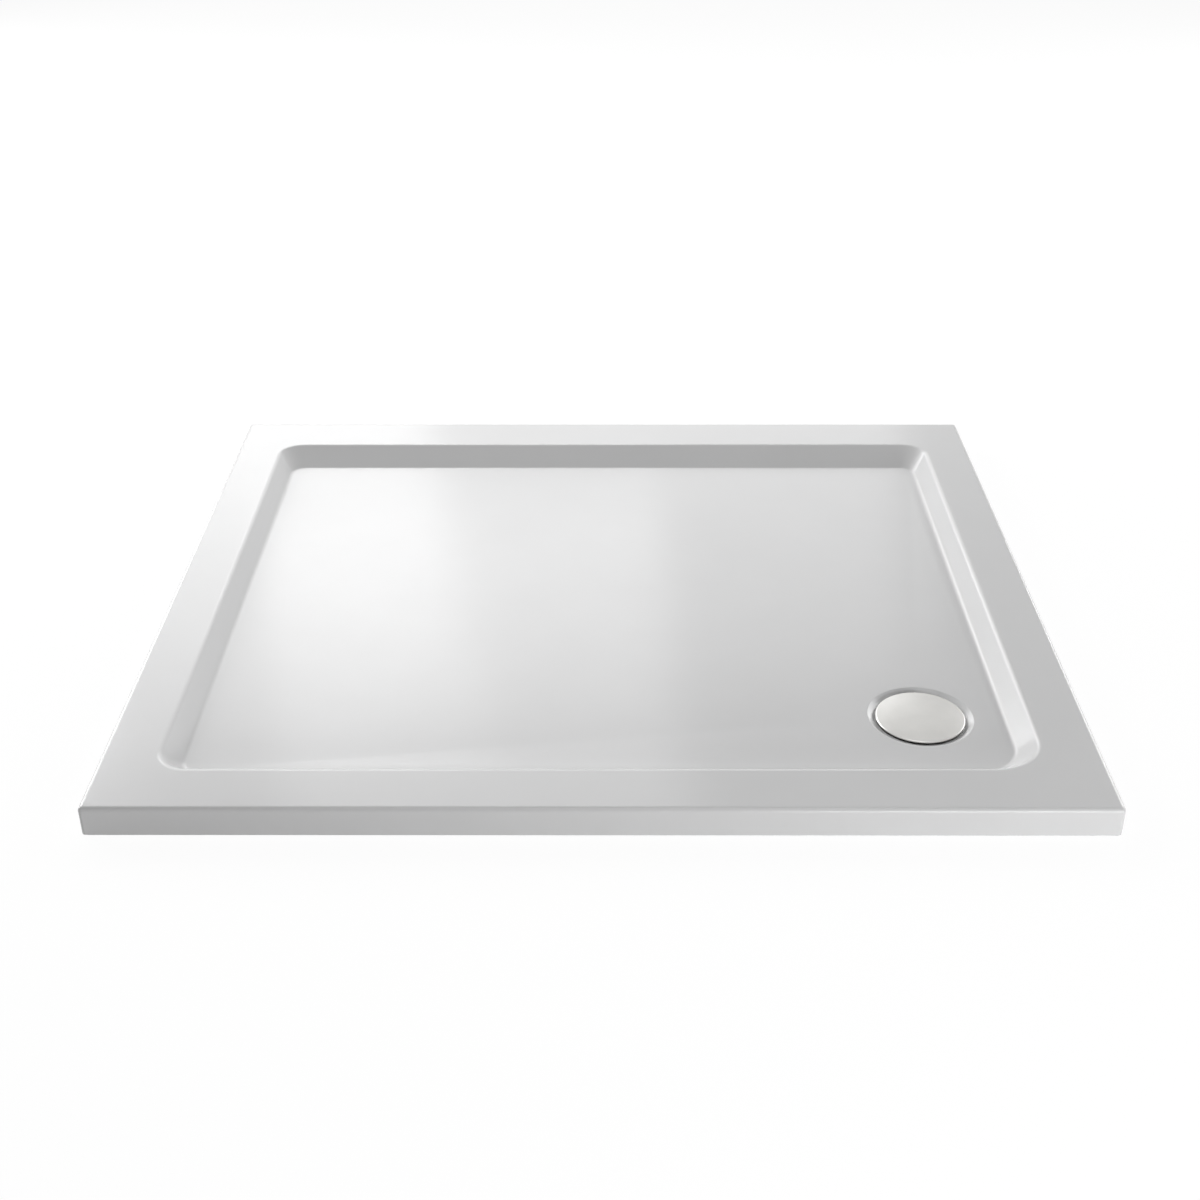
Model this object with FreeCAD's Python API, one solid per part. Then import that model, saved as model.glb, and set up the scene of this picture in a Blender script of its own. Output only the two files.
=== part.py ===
import FreeCAD, Part
import math
import os

# A low rectangular shower tray: a thin acrylic cap over a cast stone-resin core,
# with its waste in the front right corner of the floor and the water trap under it.
# Millimetres. X runs along the width, Y from front to back, Z up.
# The origin is the centre of the tray's underside, the face that is bedded on the floor.

# ---------------------------------------------------------------- tray
TRAY_WIDTH = 1000.0
TRAY_DEPTH = 900.0
TRAY_HEIGHT = 31.5
RIM_EDGE_RADIUS = 4.8
OUTER_CORNER_EXTRA = 0.2          # outer corner radius beyond the rounding of the rim's edge
CAP_THICKNESS = 1.5
CAP_LIFT = 0.5                    # the cap's skirt ends this far above the underside

RIM_SIDE_WIDTH = 58.5             # from the outer face to the edge where the wall starts
RIM_FRONT_WIDTH = 66.0
RIM_BACK_WIDTH = 71.5
RIM_CORNER_RADIUS = 31.0
RIM_WASTE_CORNER_RADIUS = 55.0    # the corner beside the waste is rounder than the others
RIM_INNER_FILLET = 9.0

FLOOR_DROP = 19.0                 # from the rim down to the edge of the floor
FLOOR_FALL = 1.5                  # from the edge of the floor down to the waste recess
WALL_SIDE_RUN = 19.0              # how far each wall leans in, seen from above
WALL_FRONT_RUN = 19.0
WALL_BACK_RUN = 35.0
FLOOR_CORNER_RADIUS = 18.0
FLOOR_WASTE_CORNER_RADIUS = 43.0
FLOOR_FILLET = 8.0
FLOOR_STRIP = 6.0                 # level strip of floor along the foot of the walls

# ---------------------------------------------------------------- waste
WASTE_FROM_RIGHT = 164.0          # waste axis to the tray's right face
WASTE_FROM_FRONT = 189.5          # waste axis to the tray's front face
RECESS_DEPTH = 4.3
RECESS_RUN = 7.0                  # width of the recess's slope, seen from above
RECESS_LEDGE = 1.2                # level ledge between the slope and the flange
RECESS_FILLET = 1.8
RELIEF_DEPTH = 1.0                # shallow pocket in the underside for the trap's seal
RELIEF_GAP = 2.0                  # between the trap's lid and the side of that pocket

FLANGE_THICKNESS = 1.0
FLANGE_REBATE_GAP = 0.3
FLANGE_BEND_RADIUS = 0.8
FLANGE_SEAL_MARGIN = 3.0          # flange beyond the seal under it
FLANGE_THROAT_GAP = 0.5           # between the throat and the dip tube's lip
DISH_HOLE_GAP = 0.6               # between the dish and the hole in the tray
DISH_LID_GAP = 1.2                # between the dish and the trap's lid
SEAL_HOLE_GAP = 0.5               # the seals stand back this far from the edge of the hole
UPPER_SEAL_WIDTH = 9.5
UPPER_SEAL_THICKNESS = 1.2
SEAL_REBATE_GAP = 0.2
LOWER_SEAL_WIDTH = 10.5
LOWER_SEAL_THICKNESS = 2.0

SCREW_COUNT = 4
FIRST_SCREW_DEGREES = 45.0
SCREW_RADIUS = 2.5
SCREW_HOLE_GAP = 0.25
SCREW_LENGTH = 8.4
SCREW_HEAD_RADIUS = 3.8
SCREW_HEAD_HEIGHT = 2.4
SCREW_HEAD_ROUND = 1.4
SCREW_THROAT_GAP = 0.9            # between the heads and the throat
SCREW_WALL_GAP = 0.4              # between the heads and the dish's wall
SCREW_CROSS_LENGTH = 4.4
SCREW_CROSS_WIDTH = 1.0
SCREW_CROSS_DEPTH = 1.4
INSERT_RADIUS = 3.4
INSERT_LENGTH = 8.4
INSERT_GROOVE_DEPTH = 0.4
INSERT_GROOVE_WIDTH = 1.2
BOSS_RADIUS = 4.4
BOSS_FLOOR = 2.6                  # plastic left under each insert

# ---------------------------------------------------------------- cover
COVER_OVERHANG = 0.2              # the cover beyond the flange's edge
COVER_GAP = 2.0                   # water runs in under the cover's edge through this gap
COVER_EDGE_HEIGHT = 1.8
COVER_RISE = 2.1
COVER_THICKNESS = 0.9
CARRIER_GAP = 0.1                 # all round the ring, inside the cover's edge
CARRIER_RING_WIDTH = 5.0
CARRIER_HUB_RADIUS = 12.0
CARRIER_ARM_COUNT = 4
CARRIER_ARM_WIDTH = 8.0
CARRIER_LEG_RADIUS = 2.5
CARRIER_LEG_SETBACK = 3.6         # from the dish's wall to the side of each leg
CLIP_WIDTH = 7.0
CLIP_THICKNESS = 1.6
CLIP_GAP = 0.3
CLIP_DISH_GAP = 1.9               # between the clips and the dish's floor
CLIP_ROOT = 0.5                   # how far the clips run up into the arms

# ---------------------------------------------------------------- trap
LID_THICKNESS = 5.0
LID_SEAL_MARGIN = 1.0             # lid beyond the seal on it
LID_COLLAR_WALL = 3.4
LID_COLLAR_LENGTH = 7.0
LID_RING_WALL = 2.6
LID_RING_LENGTH = 3.0
LID_RING_GAP = 0.3
BOWL_WALL = 2.5
BOWL_FLOOR = 2.5
BOWL_INNER_ROUND = 8.0
WATER_SEAL_DEPTH = 30.0           # standing water between the tube's mouth and the outlet
BOWL_FLOOR_GAP = 9.0              # under the mouth of the dip tube

DIP_TUBE_RADIUS = 19.0
DIP_TUBE_WALL = 1.5
DIP_HEAD_STEP = 1.7               # the head is this much wider than the tube, all round
DIP_HEAD_GAP = 0.4                # between the tube's head and the lid's bore
DIP_HEAD_LENGTH = 9.0
DIP_LIP_OVERLAP = 1.9             # lip beyond the lid's bore
DIP_LIP_THICKNESS = 1.5
DIP_LEAD_IN = 1.9                 # the bore is this much wider at the top, for the basket to drop in
DIP_LEAD_IN_DEPTH = 3.0
RING_GROOVE_WIDTH = 2.7
RING_GROOVE_DEPTH = 1.8
RING_DEPTH = 5.0                  # middle of the O-ring below the lip's seat
RING_GAP = 0.1                    # between the O-ring and the lid's bore

BASKET_GAP = 0.4                  # between the strainer basket and the dip tube
BASKET_WALL = 1.2
BASKET_DEPTH = 18.0
BASKET_FLOOR = 1.4
BASKET_RIM_SETBACK = 0.4          # rim inside the dip tube's lip
BASKET_RIM_THICKNESS = 1.2
BASKET_SLOT_COUNT = 16
BASKET_SLOT_WIDTH = 2.0
BASKET_SLOT_HEIGHT = 10.0
BASKET_HOLE_RADIUS = 1.6
BASKET_RING_COUNT = 2             # rings of holes round the middle one
BASKET_RING_PITCH = 5.1
FIRST_RING_HOLE_COUNT = 6         # the second ring has twice as many
LUG_COUNT = 2
FIRST_LUG_DEGREES = 90.0
LUG_WIDTH = 9.0
LUG_THICKNESS = 1.8
LUG_ROUND = 2.25
LUG_COVER_GAP = 2.4               # between the lifting lugs and the cover

# ---------------------------------------------------------------- outlet
NUT_UNDERSIDE_GAP = 2.4           # between the nut's ribs and the tray's underside
OUTLET_WATERWAY_RADIUS = 16.5
OUTLET_THROAT_WALL = 2.4
OUTLET_THROAT_LENGTH = 8.0        # from the bowl's outer face to the shoulder of the socket
SOCKET_COLLAR_LENGTH = 6.0        # the socket is welded over this much of the throat
PIPE_SOCKET_RADIUS = 20.15
PIPE_SOCKET_LENGTH = 28.0
SOCKET_WALL = 2.4
SOCKET_MOUTH_BEVEL = 1.6
THREAD_PITCH = 3.0
THREAD_TURN_COUNT = 5
THREAD_DEPTH = 0.7
THREAD_CREST = 0.6
THREAD_ROOT = 0.6
THREAD_GAP = 0.35
CONE_SEAL_LENGTH = 6.0
SLIP_RING_THICKNESS = 1.5
SLIP_RING_INNER_RADIUS = 20.35
SLIP_RING_GAP = 0.3
NUT_WALL = 3.2
NUT_END_WALL = 3.0
NUT_MOUTH_RADIUS = 20.6
NUT_BEVEL = 1.2
NUT_RIB_COUNT = 18
NUT_RIB_RADIUS = 1.5

CUT_MARGIN = 1.0                  # how far a cut runs past the face that it opens
SAME_PLACE = 1e-4                 # lengths and levels closer than this count as equal

# ---------------------------------------------------------------- levels and places
OUTER_CORNER_RADIUS = RIM_EDGE_RADIUS + OUTER_CORNER_EXTRA
EDGE_LEVEL = TRAY_HEIGHT - FLOOR_DROP
RECESS_LEVEL = EDGE_LEVEL - FLOOR_FALL

# The waste, from the dip tube outwards.
DIP_HEAD_RADIUS = DIP_TUBE_RADIUS + DIP_HEAD_STEP
LID_BORE_RADIUS = DIP_HEAD_RADIUS + DIP_HEAD_GAP
DIP_LIP_RADIUS = LID_BORE_RADIUS + DIP_LIP_OVERLAP
BASKET_RIM_RADIUS = DIP_LIP_RADIUS - BASKET_RIM_SETBACK
BASKET_RADIUS = DIP_TUBE_RADIUS - DIP_TUBE_WALL - BASKET_GAP
FLANGE_THROAT_RADIUS = DIP_LIP_RADIUS + FLANGE_THROAT_GAP
SCREW_CIRCLE_RADIUS = FLANGE_THROAT_RADIUS + SCREW_THROAT_GAP + SCREW_HEAD_RADIUS
DISH_INNER_RADIUS = SCREW_CIRCLE_RADIUS + SCREW_HEAD_RADIUS + SCREW_WALL_GAP
DISH_OUTER_RADIUS = DISH_INNER_RADIUS + FLANGE_THICKNESS
WASTE_HOLE_RADIUS = DISH_OUTER_RADIUS + DISH_HOLE_GAP
SEAL_INNER_RADIUS = WASTE_HOLE_RADIUS + SEAL_HOLE_GAP
UPPER_SEAL_RADIUS = SEAL_INNER_RADIUS + UPPER_SEAL_WIDTH
FLANGE_RADIUS = UPPER_SEAL_RADIUS + FLANGE_SEAL_MARGIN
FLANGE_REBATE_RADIUS = FLANGE_RADIUS + FLANGE_REBATE_GAP
RECESS_TOP_RADIUS = FLANGE_REBATE_RADIUS + RECESS_LEDGE + RECESS_RUN
COVER_RADIUS = FLANGE_RADIUS + COVER_OVERHANG
CARRIER_LEG_CIRCLE_RADIUS = DISH_INNER_RADIUS + CARRIER_LEG_SETBACK + CARRIER_LEG_RADIUS
LOWER_SEAL_RADIUS = SEAL_INNER_RADIUS + LOWER_SEAL_WIDTH
LID_RADIUS = LOWER_SEAL_RADIUS + LID_SEAL_MARGIN
RELIEF_RADIUS = LID_RADIUS + RELIEF_GAP
BOWL_INNER_RADIUS = LID_RADIUS - BOWL_WALL

# The waste, from the floor of the tray downwards.
FLANGE_TOP = RECESS_LEVEL - RECESS_DEPTH
FLANGE_SEAT = FLANGE_TOP - FLANGE_THICKNESS
UPPER_SEAL_SEAT = FLANGE_SEAT - UPPER_SEAL_THICKNESS
COVER_EDGE = FLANGE_TOP + COVER_GAP
COVER_SHOULDER = COVER_EDGE + COVER_EDGE_HEIGHT
COVER_TOP = COVER_SHOULDER + COVER_RISE
LID_TOP = RELIEF_DEPTH - LOWER_SEAL_THICKNESS
LID_UNDERSIDE = LID_TOP - LID_THICKNESS
DISH_UNDERSIDE = LID_TOP + DISH_LID_GAP
DISH_TOP = DISH_UNDERSIDE + FLANGE_THICKNESS
LIP_TOP = LID_TOP + DIP_LIP_THICKNESS
BASKET_RIM_TOP = LIP_TOP + BASKET_RIM_THICKNESS
BASKET_BOTTOM = LIP_TOP - BASKET_DEPTH
LUG_TOP = COVER_EDGE - LUG_COVER_GAP

SOCKET_OUTER_RADIUS = PIPE_SOCKET_RADIUS + SOCKET_WALL
NUT_BORE_RADIUS = SOCKET_OUTER_RADIUS + THREAD_GAP
NUT_RADIUS = NUT_BORE_RADIUS + NUT_WALL
OUTLET_DEPTH = NUT_RADIUS + NUT_RIB_RADIUS + NUT_UNDERSIDE_GAP
WEIR_LEVEL = -OUTLET_DEPTH - OUTLET_WATERWAY_RADIUS
DIP_MOUTH_LEVEL = WEIR_LEVEL - WATER_SEAL_DEPTH
BOWL_INNER_FLOOR = DIP_MOUTH_LEVEL - BOWL_FLOOR_GAP
BOWL_BOTTOM = BOWL_INNER_FLOOR - BOWL_FLOOR

# The outlet, from the waste axis backwards.
OUTLET_THROAT_RADIUS = OUTLET_WATERWAY_RADIUS + OUTLET_THROAT_WALL
SOCKET_START = LID_RADIUS + OUTLET_THROAT_LENGTH
COLLAR_START = SOCKET_START - SOCKET_COLLAR_LENGTH
SOCKET_END = SOCKET_START + PIPE_SOCKET_LENGTH
CONE_SEAL_END = SOCKET_END + CONE_SEAL_LENGTH
SLIP_RING_END = CONE_SEAL_END + SLIP_RING_THICKNESS
NUT_END = SLIP_RING_END + NUT_END_WALL
NUT_START = SOCKET_END - THREAD_PITCH * THREAD_TURN_COUNT

UP = FreeCAD.Vector(0, 0, 1)
BACKWARD = FreeCAD.Vector(0, 1, 0)
WASTE_AXIS = FreeCAD.Vector(
    TRAY_WIDTH / 2 - WASTE_FROM_RIGHT,
    WASTE_FROM_FRONT - TRAY_DEPTH / 2,
    0,
)
CORNER_TURNS = (-90, 0, 90, 180)  # where the arcs of a rounded rectangle start, in degrees


def point(x, y, z):
    return FreeCAD.Vector(x, y, z)


def on_circle(centre, radius, degrees):
    angle = math.radians(degrees)
    return centre + point(radius * math.cos(angle), radius * math.sin(angle), 0)


def arc(centre, radius, start):
    """A quarter of a circle, anticlockwise from start degrees."""
    first = on_circle(centre, radius, start)
    middle = on_circle(centre, radius, start + 45)
    last = on_circle(centre, radius, start + 90)
    return Part.Arc(first, middle, last).toShape()


def corner_arcs(left, right, front, back, radius, waste_radius, level):
    """The four corners of a rounded rectangle: front right by the waste, then anticlockwise."""
    corners = (
        (point(right - waste_radius, front + waste_radius, level), waste_radius),
        (point(right - radius, back - radius, level), radius),
        (point(left + radius, back - radius, level), radius),
        (point(left + radius, front + radius, level), radius),
    )
    return [arc(centre, r, turn) for (centre, r), turn in zip(corners, CORNER_TURNS)]


def first_point(edge):
    return edge.valueAt(edge.FirstParameter)


def last_point(edge):
    return edge.valueAt(edge.LastParameter)


def closed_outline(arcs):
    """One wire through the four arcs, joined by straight sides."""
    edges = []
    for this_arc, next_arc in zip(arcs, arcs[1:] + arcs[:1]):
        edges.append(this_arc)
        edges.append(Part.makeLine(last_point(this_arc), first_point(next_arc)))
    return Part.Wire(edges)


def turned(profile):
    """A solid of revolution. The profile is a list of (radius, height) pairs about the Z axis."""
    corners = [point(r, 0, h) for r, h in profile]
    face = Part.Face(Part.makePolygon(corners + corners[:1]))
    return face.revolve(point(0, 0, 0), UP, 360)


def disc(radius, low, high):
    return Part.makeCylinder(radius, high - low, point(0, 0, low))


def ring(inner, outer, low, high):
    return disc(outer, low, high).cut(disc(inner, low, high))


def around(shape, count, first_degrees=0.0):
    """Copies of a shape, evenly spaced round the Z axis."""
    copies = []
    for i in range(count):
        copy = shape.copy()
        copy.rotate(point(0, 0, 0), UP, first_degrees + 360.0 * i / count)
        copies.append(copy)
    return copies


def edges_where(shape, test):
    """The edges whose every sampled point passes the test."""
    found = []
    for edge in shape.Edges:
        first, last = edge.ParameterRange
        samples = [edge.valueAt(first + (last - first) * k / 4.0) for k in range(5)]
        if all(test(p) for p in samples):
            found.append(edge)
    return found


def at_level(level):
    return lambda p: abs(p.z - level) < SAME_PLACE


# ---------------------------------------------------------------- the tray's own form
def wall_shift(depth, run):
    """How far a wall's edges move outwards when the surface is set back by depth."""
    slant = math.hypot(FLOOR_DROP, run)
    return depth * (slant - run) / FLOOR_DROP


def inset_outline(side, front, back, radius, waste_radius, level):
    """A rounded rectangle set in from the tray's outer faces."""
    return corner_arcs(
        side - TRAY_WIDTH / 2,
        TRAY_WIDTH / 2 - side,
        front - TRAY_DEPTH / 2,
        TRAY_DEPTH / 2 - back,
        radius,
        waste_radius,
        level,
    )


def rim_outline(depth):
    """Where the rim meets the walls, in a surface set back by depth."""
    side_shift = wall_shift(depth, WALL_SIDE_RUN)
    return inset_outline(
        RIM_SIDE_WIDTH - side_shift,
        RIM_FRONT_WIDTH - wall_shift(depth, WALL_FRONT_RUN),
        RIM_BACK_WIDTH - wall_shift(depth, WALL_BACK_RUN),
        RIM_CORNER_RADIUS + side_shift,
        RIM_WASTE_CORNER_RADIUS + side_shift,
        TRAY_HEIGHT - depth,
    )


def foot_outline(depth):
    """Where the walls meet the floor, in a surface set back by depth."""
    side_shift = wall_shift(depth, WALL_SIDE_RUN)
    return inset_outline(
        RIM_SIDE_WIDTH + WALL_SIDE_RUN - side_shift,
        RIM_FRONT_WIDTH + WALL_FRONT_RUN - wall_shift(depth, WALL_FRONT_RUN),
        RIM_BACK_WIDTH + WALL_BACK_RUN - wall_shift(depth, WALL_BACK_RUN),
        FLOOR_CORNER_RADIUS + side_shift,
        FLOOR_WASTE_CORNER_RADIUS + side_shift,
        EDGE_LEVEL - depth,
    )


def floor_dish(depth):
    """The shallow fall of the floor: flat triangles and cones from a level strip to the recess."""
    outer = inset_outline(
        RIM_SIDE_WIDTH + WALL_SIDE_RUN + FLOOR_STRIP,
        RIM_FRONT_WIDTH + WALL_FRONT_RUN + FLOOR_STRIP,
        RIM_BACK_WIDTH + WALL_BACK_RUN + FLOOR_STRIP,
        FLOOR_CORNER_RADIUS - FLOOR_STRIP / 2,
        FLOOR_WASTE_CORNER_RADIUS - FLOOR_STRIP / 2,
        EDGE_LEVEL - depth,
    )
    centre = WASTE_AXIS + point(0, 0, RECESS_LEVEL - depth)
    inner = [arc(centre, RECESS_TOP_RADIUS, turn) for turn in CORNER_TURNS]
    faces = [Part.Face(closed_outline(outer)), Part.Face(Part.Wire(inner))]
    for i in range(4):
        following = (i + 1) % 4
        faces.append(Part.makeRuledSurface(outer[i], inner[i]))
        corners = [last_point(outer[i]), first_point(outer[following]), last_point(inner[i])]
        faces.append(Part.Face(Part.makePolygon(corners + corners[:1])))
    shell = Part.makeShell(faces)
    shell.sewShape()
    dish = Part.makeSolid(shell)
    if dish.Volume < 0:
        dish.reverse()
    return dish


def waste_recess(depth):
    """The conical recess, with a step for the flange and a step for its seal."""
    step = FLANGE_REBATE_RADIUS + depth
    seal_step = UPPER_SEAL_RADIUS + SEAL_REBATE_GAP + depth
    profile = [
        (0, RECESS_LEVEL - depth),
        (RECESS_TOP_RADIUS, RECESS_LEVEL - depth),
        (step + RECESS_LEDGE, FLANGE_TOP - depth),
        (step, FLANGE_TOP - depth),
        (step, FLANGE_SEAT - depth),
        (seal_step, FLANGE_SEAT - depth),
        (seal_step, UPPER_SEAL_SEAT - depth),
        (0, UPPER_SEAL_SEAT - depth),
    ]
    recess = turned(profile)
    recess.translate(WASTE_AXIS)
    return recess


def inside_the_rim(edge):
    """Tells the basin's edges from the tray's outer ones."""
    middle = edge.CenterOfMass
    across = abs(middle.x) < TRAY_WIDTH / 2 - RIM_SIDE_WIDTH / 2
    along = abs(middle.y) < TRAY_DEPTH / 2 - min(RIM_FRONT_WIDTH, RIM_BACK_WIDTH) / 2
    return across and along


def tray_form(depth):
    """The whole tray, or the same form with its upper and outer surfaces set back by depth."""
    half_width = TRAY_WIDTH / 2 - depth
    half_depth = TRAY_DEPTH / 2 - depth
    top = TRAY_HEIGHT - depth
    corner = OUTER_CORNER_RADIUS - depth
    corners = corner_arcs(-half_width, half_width, -half_depth, half_depth, corner, corner, 0)
    form = Part.Face(closed_outline(corners)).extrude(point(0, 0, top))
    outer_edges = edges_where(form, at_level(top))
    form = form.makeFillet(RIM_EDGE_RADIUS - depth, outer_edges)

    basin = [closed_outline(rim_outline(depth)), closed_outline(foot_outline(depth))]
    form = form.cut(Part.makeLoft(basin, True, True))
    rim_edges = [e for e in edges_where(form, at_level(top)) if inside_the_rim(e)]
    form = form.makeFillet(RIM_INNER_FILLET - depth, rim_edges)
    foot_edges = edges_where(form, at_level(EDGE_LEVEL - depth))
    form = form.makeFillet(FLOOR_FILLET + depth, foot_edges)

    form = form.cut(floor_dish(depth))
    form = form.cut(waste_recess(depth))
    lip_edges = edges_where(form, at_level(RECESS_LEVEL - depth))
    form = form.makeFillet(RECESS_FILLET, lip_edges)
    hole = disc(WASTE_HOLE_RADIUS, -CUT_MARGIN, TRAY_HEIGHT)
    hole.translate(WASTE_AXIS)
    return form.cut(hole)


def resin_core():
    relief = disc(RELIEF_RADIUS, -CUT_MARGIN, RELIEF_DEPTH)
    relief.translate(WASTE_AXIS)
    return tray_form(CAP_THICKNESS).cut(relief)


def acrylic_cap():
    below = Part.makeBox(
        TRAY_WIDTH + 2 * CUT_MARGIN,
        TRAY_DEPTH + 2 * CUT_MARGIN,
        CAP_LIFT + CUT_MARGIN,
        point(-TRAY_WIDTH / 2 - CUT_MARGIN, -TRAY_DEPTH / 2 - CUT_MARGIN, -CUT_MARGIN),
    )
    return tray_form(0.0).cut(tray_form(CAP_THICKNESS)).cut(below)


# ---------------------------------------------------------------- waste fitting
def waste_flange():
    profile = [
        (FLANGE_RADIUS, FLANGE_SEAT),
        (FLANGE_RADIUS, FLANGE_TOP),
        (DISH_INNER_RADIUS, FLANGE_TOP),
        (DISH_INNER_RADIUS, DISH_TOP),
        (FLANGE_THROAT_RADIUS, DISH_TOP),
        (FLANGE_THROAT_RADIUS, DISH_UNDERSIDE),
        (DISH_OUTER_RADIUS, DISH_UNDERSIDE),
        (DISH_OUTER_RADIUS, FLANGE_SEAT),
    ]
    flange = turned(profile)
    bend_limit = math.pi * (DISH_INNER_RADIUS + FLANGE_RADIUS)
    bend = [e for e in edges_where(flange, at_level(FLANGE_TOP)) if e.Length < bend_limit]
    flange = flange.makeFillet(FLANGE_BEND_RADIUS, bend)
    hole = Part.makeCylinder(
        SCREW_RADIUS + SCREW_HOLE_GAP,
        FLANGE_THICKNESS + 2 * CUT_MARGIN,
        point(SCREW_CIRCLE_RADIUS, 0, DISH_UNDERSIDE - CUT_MARGIN),
    )
    return flange.cut(around(hole, SCREW_COUNT, FIRST_SCREW_DEGREES))


def upper_seal():
    return ring(SEAL_INNER_RADIUS, UPPER_SEAL_RADIUS, UPPER_SEAL_SEAT, FLANGE_SEAT)


def lower_seal():
    return ring(SEAL_INNER_RADIUS, LOWER_SEAL_RADIUS, LID_TOP, RELIEF_DEPTH)


def flange_screws():
    head = disc(SCREW_HEAD_RADIUS, DISH_TOP, DISH_TOP + SCREW_HEAD_HEIGHT)
    crown = edges_where(head, at_level(DISH_TOP + SCREW_HEAD_HEIGHT))
    head = head.makeFillet(SCREW_HEAD_ROUND, crown)
    for turn in (0, 90):
        slot = Part.makeBox(
            SCREW_CROSS_LENGTH,
            SCREW_CROSS_WIDTH,
            SCREW_CROSS_DEPTH + CUT_MARGIN,
            point(
                -SCREW_CROSS_LENGTH / 2,
                -SCREW_CROSS_WIDTH / 2,
                DISH_TOP + SCREW_HEAD_HEIGHT - SCREW_CROSS_DEPTH,
            ),
        )
        slot.rotate(point(0, 0, 0), UP, turn)
        head = head.cut(slot)
    shank = disc(SCREW_RADIUS, DISH_TOP - SCREW_LENGTH, DISH_TOP)
    screw = head.fuse(shank).removeSplitter()
    screw.translate(point(SCREW_CIRCLE_RADIUS, 0, 0))
    return Part.makeCompound(around(screw, SCREW_COUNT, FIRST_SCREW_DEGREES))


def thread_inserts():
    low = DISH_UNDERSIDE - INSERT_LENGTH
    insert = ring(SCREW_RADIUS, INSERT_RADIUS, low, DISH_UNDERSIDE)
    middle = (low + DISH_UNDERSIDE) / 2
    groove = ring(
        INSERT_RADIUS - INSERT_GROOVE_DEPTH,
        INSERT_RADIUS + CUT_MARGIN,
        middle - INSERT_GROOVE_WIDTH / 2,
        middle + INSERT_GROOVE_WIDTH / 2,
    )
    insert = insert.cut(groove)
    insert.translate(point(SCREW_CIRCLE_RADIUS, 0, 0))
    return Part.makeCompound(around(insert, SCREW_COUNT, FIRST_SCREW_DEGREES))


# ---------------------------------------------------------------- cover
def cover_profile(inset):
    """Half section of the domed cover, as a closed face, drawn in by inset.

    Half way out, a shallow dome still stands three quarters of its rise above its shoulder.
    """
    round_radius = COVER_EDGE_HEIGHT - inset
    edge_radius = COVER_RADIUS - inset
    top = point(0, 0, COVER_TOP - inset)
    shoulder = point(COVER_RADIUS - COVER_EDGE_HEIGHT, 0, COVER_SHOULDER - inset)
    crown = point(shoulder.x / 2, 0, shoulder.z + COVER_RISE * 3 / 4)
    edge_top = point(edge_radius, 0, COVER_EDGE)
    bend_middle = point(
        shoulder.x + round_radius * math.sin(math.radians(45)),
        0,
        COVER_EDGE + round_radius * math.cos(math.radians(45)),
    )
    bottom = point(0, 0, COVER_EDGE)
    edges = [
        Part.Arc(top, crown, shoulder).toShape(),
        Part.Arc(shoulder, bend_middle, edge_top).toShape(),
        Part.makeLine(edge_top, bottom),
        Part.makeLine(bottom, top),
    ]
    return Part.Face(Part.Wire(edges))


def cover_form(inset):
    return cover_profile(inset).revolve(point(0, 0, 0), UP, 360)


def waste_cover():
    return cover_form(0.0).cut(cover_form(COVER_THICKNESS))


def cover_carrier():
    outer = COVER_RADIUS - COVER_THICKNESS - CARRIER_GAP
    blank = ring(outer - CARRIER_RING_WIDTH, outer, COVER_EDGE, COVER_TOP)
    blank = blank.fuse(disc(CARRIER_HUB_RADIUS, COVER_EDGE, COVER_TOP))
    arm = Part.makeBox(
        outer - CARRIER_RING_WIDTH / 2,
        CARRIER_ARM_WIDTH,
        COVER_TOP - COVER_EDGE,
        point(0, -CARRIER_ARM_WIDTH / 2, COVER_EDGE),
    )
    blank = blank.fuse(around(arm, CARRIER_ARM_COUNT))
    carrier = blank.common(cover_form(COVER_THICKNESS + CARRIER_GAP))
    leg = Part.makeCylinder(
        CARRIER_LEG_RADIUS,
        COVER_GAP + COVER_THICKNESS,
        point(CARRIER_LEG_CIRCLE_RADIUS, 0, FLANGE_TOP),
    )
    clip_outside = DISH_INNER_RADIUS - CLIP_GAP
    clip = ring(
        clip_outside - CLIP_THICKNESS,
        clip_outside,
        DISH_TOP + CLIP_DISH_GAP,
        COVER_EDGE + CLIP_ROOT,
    )
    clip = clip.common(
        Part.makeBox(
            clip_outside,
            CLIP_WIDTH,
            COVER_TOP,
            point(0, -CLIP_WIDTH / 2, 0),
        )
    )
    carrier = carrier.fuse(around(leg, CARRIER_ARM_COUNT))
    return carrier.fuse(around(clip, CARRIER_ARM_COUNT)).removeSplitter()


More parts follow.
